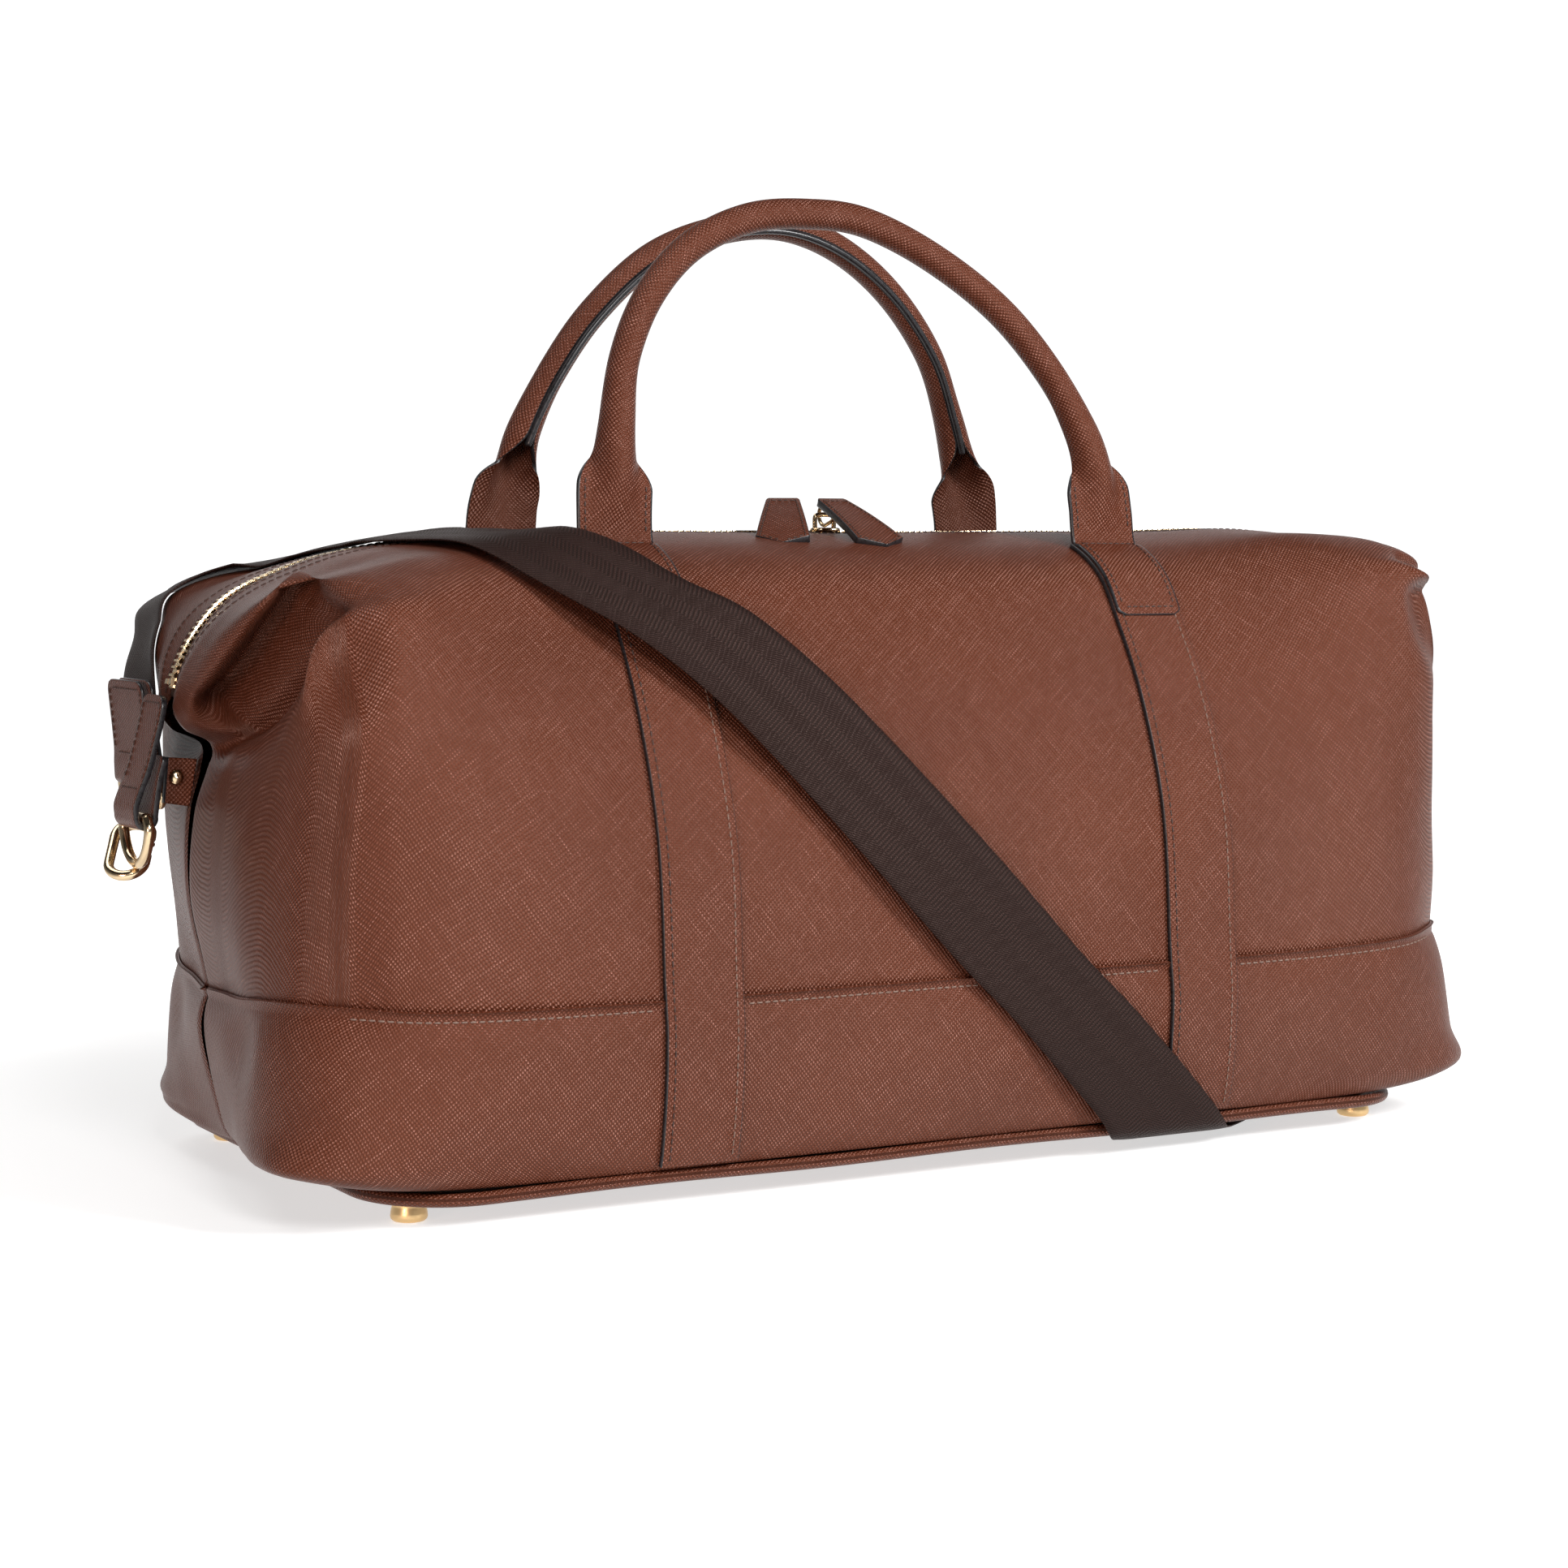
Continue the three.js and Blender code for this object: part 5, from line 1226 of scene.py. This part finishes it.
for end, sx in ENDS:
    eye, lean, aim, top, turn, length = END_PLACES[end]
    eye = np.array(eye, float)

    def cap(points):
        """From the strap end's own axes (x across its thickness, z up the strap) to the bag's."""
        p = np.asarray(points, float)
        if top < 0:
            return p * [1, -1, -1] + eye
        c, s = math.cos(lean), math.sin(lean)
        return np.stack([p[:, 0] * c + p[:, 2] * s, p[:, 1], -p[:, 0] * s + p[:, 2] * c], -1) + eye

    u_path = np.concatenate([[[-1.85, length], [-1.85, length - 6], [-1.95, 12], [-2.6, 5]],
                             arc(0, 0, 2.95, -math.pi + 0.15, -0.15, 10),
                             [[2.6, 5], [1.95, 12], [1.85, length - 6], [1.85, length]]])
    u_path = smooth_line(u_path, 1.0)
    middle = np.stack([u_path[:, 0], np.zeros(len(u_path)), u_path[:, 1]], -1)
    s = lengths(middle)
    half = rounded_half(s, s[-1], PATCH_HALF, 5.0, 5.0)
    wide = Y_WAY * half[:, None]
    patch = ribbon(cap(middle - wide), cap(middle + wide), PATCH_THICK)
    piece("strap_end_leather_" + end, [patch], EDGED, "bag", "leather",
          "strap_end_" + end)
    # the same frame of stitches on the patch's two faces
    for face, way in ((-1, s), (1, s[-1] - s)):
        keep = (way > 2.5) & (way < min(length - 8, 30))
        lift = np.array([face * PATCH_THICK / 2, 0, 0])
        rows_of = [middle[keep] + Y_WAY * (k * (half[keep] - 2.2))[:, None] + lift for k in (-1, 1)]
        for run in (3.2, min(length - 9, 29)):
            spot = middle[nearest(s, run if face < 0 else s[-1] - run)]
            rows_of.append(spot + Y_WAY * np.linspace(-15, 15, 12)[:, None] + lift)
        for row in rows_of:
            world = cap(row)
            facing = cap(row + [face, 0, 0]) - world
            brown_stitches += stitch_line(world, facing, width=0.28, pitch=2.8)

    outline = rounded_rectangle(EYE_HALF, EYE_HEIGHT / 2, EYE_CORNER, 0, 8, 8)
    eye_line = np.stack([np.zeros(len(outline)), outline[:, 0], outline[:, 1] - EYE_HEIGHT / 2], -1)
    eye_ring = tube(cap(eye_line), EYE_WIRE, 18, looped=True)
    piece("eye_ring_" + end, [eye_ring], [GOLD_LOOK], "bag", "gold", "strap_eye_" + end)

    start = eye - [0, 0, top * EYE_HEIGHT]
    hx, hy, hz = hook_frame(start, aim, turn)

    def hooked(points):
        p = np.asarray(points, float)
        return start + p[..., :1] * hx + p[..., 1:2] * hy + p[..., 2:] * hz

    straight = HOOK_HALF_LENGTH - HOOK_HALF_WIDTH
    low = HOOK_MIDDLE - straight + 1.5
    path = [[HOOK_HALF_WIDTH, 0, low]]
    for shift, first, last in ((-straight, 0, -math.pi), (straight, math.pi, 0)):
        bend = arc(0, HOOK_MIDDLE + shift, HOOK_HALF_WIDTH, first, last, 12)
        path += np.stack([bend[:, 0], np.zeros(13), bend[:, 1]], -1).tolist()
    path += [[HOOK_HALF_WIDTH, 0, HOOK_MIDDLE + HOOK_MOUTH]]
    path = resample(np.array(path), 0.8)
    swell = 1 + 0.22 * np.exp(-(((lengths(path) - 12) / 9) ** 2))
    parts = [tube(hooked(path), HOOK_WIRE * swell, 16), lathe(NECK_PROFILE, start, hz, 28)]
    piece("snap_hook_" + end, parts, [GOLD_LOOK], "hook_" + end, "gold", "strap_hook_" + end)
    low += 0.35
    bar = [[HOOK_HALF_WIDTH, 0, low + 0.5], [HOOK_HALF_WIDTH, 0, HOOK_MIDDLE + HOOK_MOUTH - 1.0]]
    lever = [[HOOK_HALF_WIDTH, 0, low + 2.0], [HOOK_HALF_WIDTH + 1.6, 0, low + 2.6]]
    parts = [tube(hooked(resample(np.array(bar), 0.8)), 1.3, 14),
             tube(hooked(resample(np.array(lever), 0.4)), 0.9, 12)]
    piece("hook_gate_" + end, parts, [GOLD_LOOK], "gate_" + end, "gold", "strap_hook_gate_" + end)

# ---------- adjuster ----------
ADJUSTER_STEP, ADJUSTER_LEAN = 2.7, 0.107
ADJUSTER_X, ADJUSTER_Z, ADJUSTER_HALF = 259.2, 38, 22.3


def on_adjuster(points):
    """From the adjuster's own axes (x across the webbing's thickness) to the bag's."""
    p = np.asarray(points, float)
    c, s = math.cos(ADJUSTER_LEAN), math.sin(ADJUSTER_LEAN)
    x = p[..., 0] * c + p[..., 2] * s
    z = -p[..., 0] * s + p[..., 2] * c
    return np.stack([x + ADJUSTER_X, p[..., 1], z + ADJUSTER_Z], -1)


outline = rounded_rectangle(ADJUSTER_HALF, 8.5, 3.6, 0, 8, 8)
loop = np.stack([np.full(len(outline), ADJUSTER_STEP), outline[:, 0], outline[:, 1]], -1)
bar_line = smooth_line(np.array([
    [ADJUSTER_STEP, -ADJUSTER_HALF, 0], [-1, -21.8, 0], [-ADJUSTER_STEP, -20.6, 0],
    [-ADJUSTER_STEP, 0, 0], [-ADJUSTER_STEP, 20.6, 0], [-1, 21.8, 0],
    [ADJUSTER_STEP, ADJUSTER_HALF, 0]]), 0.8)
parts = [tube(on_adjuster(loop), 1.5, 16, looped=True), tube(on_adjuster(bar_line), 1.35, 14)]
piece("adjuster_slide", parts, [GOLD_LOOK], "adjuster", "gold", "strap_adjuster")

# ---------- shoulder strap ----------
# Edge pairs of the webbing, from the left strap end over the top, down across the front, under
# the base and up to the right strap end.
STRAP_EDGES = np.array([
    [[-263.05, 12.5, 153.5], [-263.05, 50.5, 153.5]],
    [[-262.0, 14, 172], [-262.0, 52, 172]],
    [[-257.5, 26, 187], [-257.0, 64, 186]],
    [[-249.5, 41, 200.5], [-248, 79, 198]],
    [[-243, 60, 212.5], [-240, 98, 208]],
    [[-229, 63, 221], [-225, 101, 215]],
    [[-214, 54, 226.5], [-202, 90, 222]],
    [[-203, 33, 229.5], [-179, 62, 227]],
    [[-193, 8, 233], [-160, 26, 236.5]],
    [[-186, -17, 236.5], [-149, -6, 240]],
    [[-177, -40, 236.4], [-139, -33, 239.8]],
    [[-168, -64, 231], [-129, -56, 239]],
    [[-156, -78, 221.5], [-116, -69, 233]],
    [[-142, -87, 212.5], [-97, -82, 220]],
    [[-124, -94.5, 201.5], [-76, -90, 209.5]],
    [[-101, -103.5, 182.5], [-51, -101.5, 187]],
    [[-78, -111.5, 158.6], [-24.4, -111.5, 158.6]],
    [[-39, -120, 116], [15.4, -120, 116]],
    [[-3.6, -121, 79.5], [51, -121, 79.5]],
    [[18.3, -121.5, 59], [73, -121.5, 59]],
    [[40.4, -120.5, 37], [95.3, -120.5, 37]],
    [[62, -117.5, 16], [116.5, -117.5, 16]],
    [[68, -115.5, 8.5], [123, -115.5, 8.5]],
    [[74, -109.5, 5.6], [129, -109.5, 5.6]],
    [[98, -92, 5.6], [153, -94, 5.6]],
    [[138, -60, 5.6], [182, -68, 5.6]],
    [[172, -24, 5.6], [204, -46, 5.6]],
    [[202, 8, 5.6], [219, -27, 5.6]],
    [[222, 19, 5.6], [229, -19, 5.6]],
    [[240, 19, 9.5], [241, -19, 9.5]],
] + [[[x, 19, z], [x, -19, z]] for x, z in (
    (252.5, 16), (257.8, 25), (260.6, 51), (264.2, 57.5), (270, 62.5), (274, 67.5), (274.8, 73),
    (274.8, 84))], float)
WEB_WIDTH, WEB_THICK, WEB_COLUMNS = 38.0, 1.5, 13
CLEAR = 0.95
DRAPE_FROM, DRAPE_REACH = 14, 12.0  # how far outside and inside the strap leather is looked for
DRAPE_TURNS, SOFT_TURNS = 7, 4


def webbing():
    """The strap: a smooth band through the edge pairs, held off the leather by CLEAR."""
    middle = STRAP_EDGES.mean(1)
    s = lengths(middle)
    t = np.interp(np.linspace(0, s[-1], int(s[-1] / 3.0)), s, np.arange(len(middle)))
    edges = through(STRAP_EDGES, t)
    for _ in range(3):
        edges = evened(edges)
    columns = np.linspace(0, 1, WEB_COLUMNS)
    grid = edges[:, None, 0] + (edges[:, None, 1] - edges[:, None, 0]) * columns[None, :, None]
    across = unit(grid[:, -1:] - grid[:, :1])
    out = -unit(np.cross(across, np.gradient(grid, axis=0)))
    trees = []
    for surface in hard_surfaces:
        verts = [Vector(v) for v in surface.reshape(-1, 3)]
        faces = [tuple(map(int, f)) for f in grid_faces(*surface.shape[:2])]
        trees.append(BVHTree.FromPolygons(verts, faces))
    need = CLEAR + WEB_THICK / 2
    x, z = grid[:, 6, 0], grid[:, 6, 2]
    # the run over the left ear is laid onto the leather; the rest is only kept clear of it
    laid = smooth((-150 - x) / 25) * smooth((x + 212) / 15) * smooth((z - 168) / 16)
    for turn in range(DRAPE_TURNS):
        laying = turn < SOFT_TURNS
        push = np.zeros(grid.shape[:2])
        for i, j in np.ndindex(push.shape):
            spot, way = Vector(grid[i, j]), Vector(out[i, j])
            gap = DRAPE_REACH
            for tree in trees:
                hit = tree.ray_cast(spot + way * DRAPE_FROM, -way, DRAPE_FROM + DRAPE_REACH)
                if hit[0] is not None:
                    gap = min(gap, hit[3] - DRAPE_FROM)
            if gap < DRAPE_REACH:
                push[i, j] = max(need - gap, 0) + min(need - gap, 0) * laid[i] * laying
        if np.abs(push).max() < 0.02:
            break
        soft = push
        for _ in range(8 if laying else 2):
            soft = evened(evened(soft), 1)
        loose = np.maximum(soft, push)
        firm = soft if laying else loose
        grid = grid + out * (loose + (firm - loose) * laid[:, None])[..., None]
    return grid, out


grid, out = webbing()
middle_s = lengths(grid[:, 6])
half_thick = WEB_THICK / 2
height = np.array([0.45, 0.85] + [1.0] * 9 + [0.85, 0.45]) * half_thick
across = unit(grid[:, -1:] - grid[:, :1])
rim = 0.3 * half_thick
top_side = grid + out * height[None, :, None]
low_side = grid - out * height[None, :, None]
left_rim = grid[:, :1] - across * rim
right_rim = grid[:, -1:] + across * rim
section = np.concatenate([left_rim, top_side, right_rim, low_side[:, ::-1]], axis=1)
u_across = np.linspace(0, WEB_WIDTH, WEB_COLUMNS)
u_across = np.concatenate([[0], u_across, [WEB_WIDTH], u_across[::-1]])
uv = np.stack(np.broadcast_arrays(u_across[None], middle_s[:, None]), -1) * MM
verts, faces, _, _ = skin(section)
strap = outward(mesh("strap_webbing", verts, faces, [WEBBING_LOOK], uv.reshape(-1, 2)))
hide_with(strap, "bag", "webbing", "shoulder_strap")

# ---------- stitches on the bag ----------
hide_with(join_parts("stitches_brown", brown_stitches, [THREAD_LOOK]), "bag", "leather")
hide_with(join_parts("stitches_tan", tan_stitches, [PALE_THREAD_LOOK]), "bag", "leather")

# ---------- pieces kept from the CAD ----------
KEPT = {"lining": LINING_LOOK, "inner_pocket": LINING_LOOK}
KEPT.update({"foot_washer_%d" % number: FOOT_LOOK for number in (1, 2, 3, 4)})
for name, look in KEPT.items():
    for material_slot in bpy.data.objects[name].material_slots:
        material_slot.link = "OBJECT"
        material_slot.material = look

# ---------- floor, light and camera ----------
CAMERA_PLACE = (-0.64227, -1.10448, 0.23131)
CAMERA_TURN = (math.radians(85.82), 0, math.radians(-29.83))
# the camera's way over the floor, the way across it, and the origin's place along each of them
AHEAD, ASIDE = (0.497, 0.868), (0.867, -0.497)
AHEAD_START, ASIDE_START = 1.278, 0.008

n = Nodes("white_floor", (0.5, 0.5, 0.5), 0.6, **{
    "Specular IOR Level": 0.1, "Emission Color": (1, 1, 1, 1)})
x, y, _ = n.axes(n.place())
from_bag = n.math("SQRT", n.add(n.times(x, x), n.times(y, y)))
ahead = n.times_add(y, AHEAD[1], n.times_add(x, AHEAD[0], AHEAD_START))
aside = n.times_add(y, ASIDE[1], n.times_add(x, ASIDE[0], ASIDE_START))
wide = n.math("DIVIDE", n.math("ABSOLUTE", aside), n.math("MAXIMUM", ahead, 0.01))
# the floor glows white away from the bag, inside the camera's view
away, seen = n.ramp(from_bag, 0.62, 1.0, 0.25, 0.7), n.ramp(wide, 1.0, 0.12, 0.32, 0.55)
n.link(n.times(away, seen), "Emission Strength")
FLOOR_HALF, FLOOR_Z = 3e4, -0.05
corners = [[-1, -1], [1, -1], [1, 1], [-1, 1]]
corners = [[x * FLOOR_HALF, y * FLOOR_HALF, FLOOR_Z] for x, y in corners]
floor = mesh("floor", corners, [(0, 1, 2, 3)], [n.material])

world = bpy.data.worlds.new("studio")
bpy.context.scene.world = world
world.use_nodes = True
tree = world.node_tree
back = tree.nodes["Background"]
sky_place = tree.nodes.new("ShaderNodeTexCoord")


def world_ramp(way, start, end, low, high):
    """Strength that goes from low to high with the sky direction's part along way."""
    dot = tree.nodes.new("ShaderNodeVectorMath")
    dot.operation = "DOT_PRODUCT"
    dot.inputs[1].default_value = way
    tree.links.new(sky_place.outputs["Generated"], dot.inputs[0])
    ramp = tree.nodes.new("ShaderNodeMapRange")
    ramp.interpolation_type = "SMOOTHSTEP"
    tree.links.new(dot.outputs["Value"], ramp.inputs[0])
    for key, value in ((1, start), (2, end), (3, low), (4, high)):
        ramp.inputs[key].default_value = value
    return ramp.outputs[0]


strength = tree.nodes.new("ShaderNodeMath")
strength.operation = "MULTIPLY"
tree.links.new(world_ramp((*AHEAD, 0.0), 0.6, 0.945, 0.14, 1.15), strength.inputs[0])
tree.links.new(world_ramp((0, 0, 1), 0.2, 0.55, 1.0, 0.1), strength.inputs[1])
tree.links.new(strength.outputs[0], back.inputs["Strength"])
back.inputs["Color"].default_value = (1, 1, 1, 1)


def soft_light(name, place, aim, size, power, colour=(1, 1, 1)):
    """A rectangular light at a place, turned to a point."""
    light = bpy.data.lights.new(name, "AREA")
    light.shape = "RECTANGLE"
    light.size, light.size_y = size
    light.energy = power
    light.color = colour
    obj = bpy.data.objects.new(name, light)
    obj.location = place
    obj.rotation_euler = (Vector(aim) - Vector(place)).to_track_quat("-Z", "Y").to_euler()
    bpy.context.scene.collection.objects.link(obj)


soft_light("key_right", (1.0, -1.5, 1.25), (0, 0, 0.18), (0.6, 0.6), 52)
soft_light("key_left", (-0.5, -1.8, 1.25), (0, 0, 0.16), (0.6, 0.6), 24)
soft_light("side_left", (-1.6, -1.2, 0.4), (-0.2, 0, 0.12), (0.5, 0.5), 11, (1.0, 0.72, 0.6))
soft_light("top", (-0.7, 0.7, 1.8), (0, 0, 0.1), (1.2, 1.0), 10)

camera_data = bpy.data.cameras.new("camera")
camera_data.lens, camera_data.sensor_width = 73.83, 36
camera = bpy.data.objects.new("camera", camera_data)
camera.location, camera.rotation_euler = CAMERA_PLACE, CAMERA_TURN
bpy.context.scene.collection.objects.link(camera)
bpy.context.scene.camera = camera
bpy.context.scene.view_settings.view_transform = "Standard"
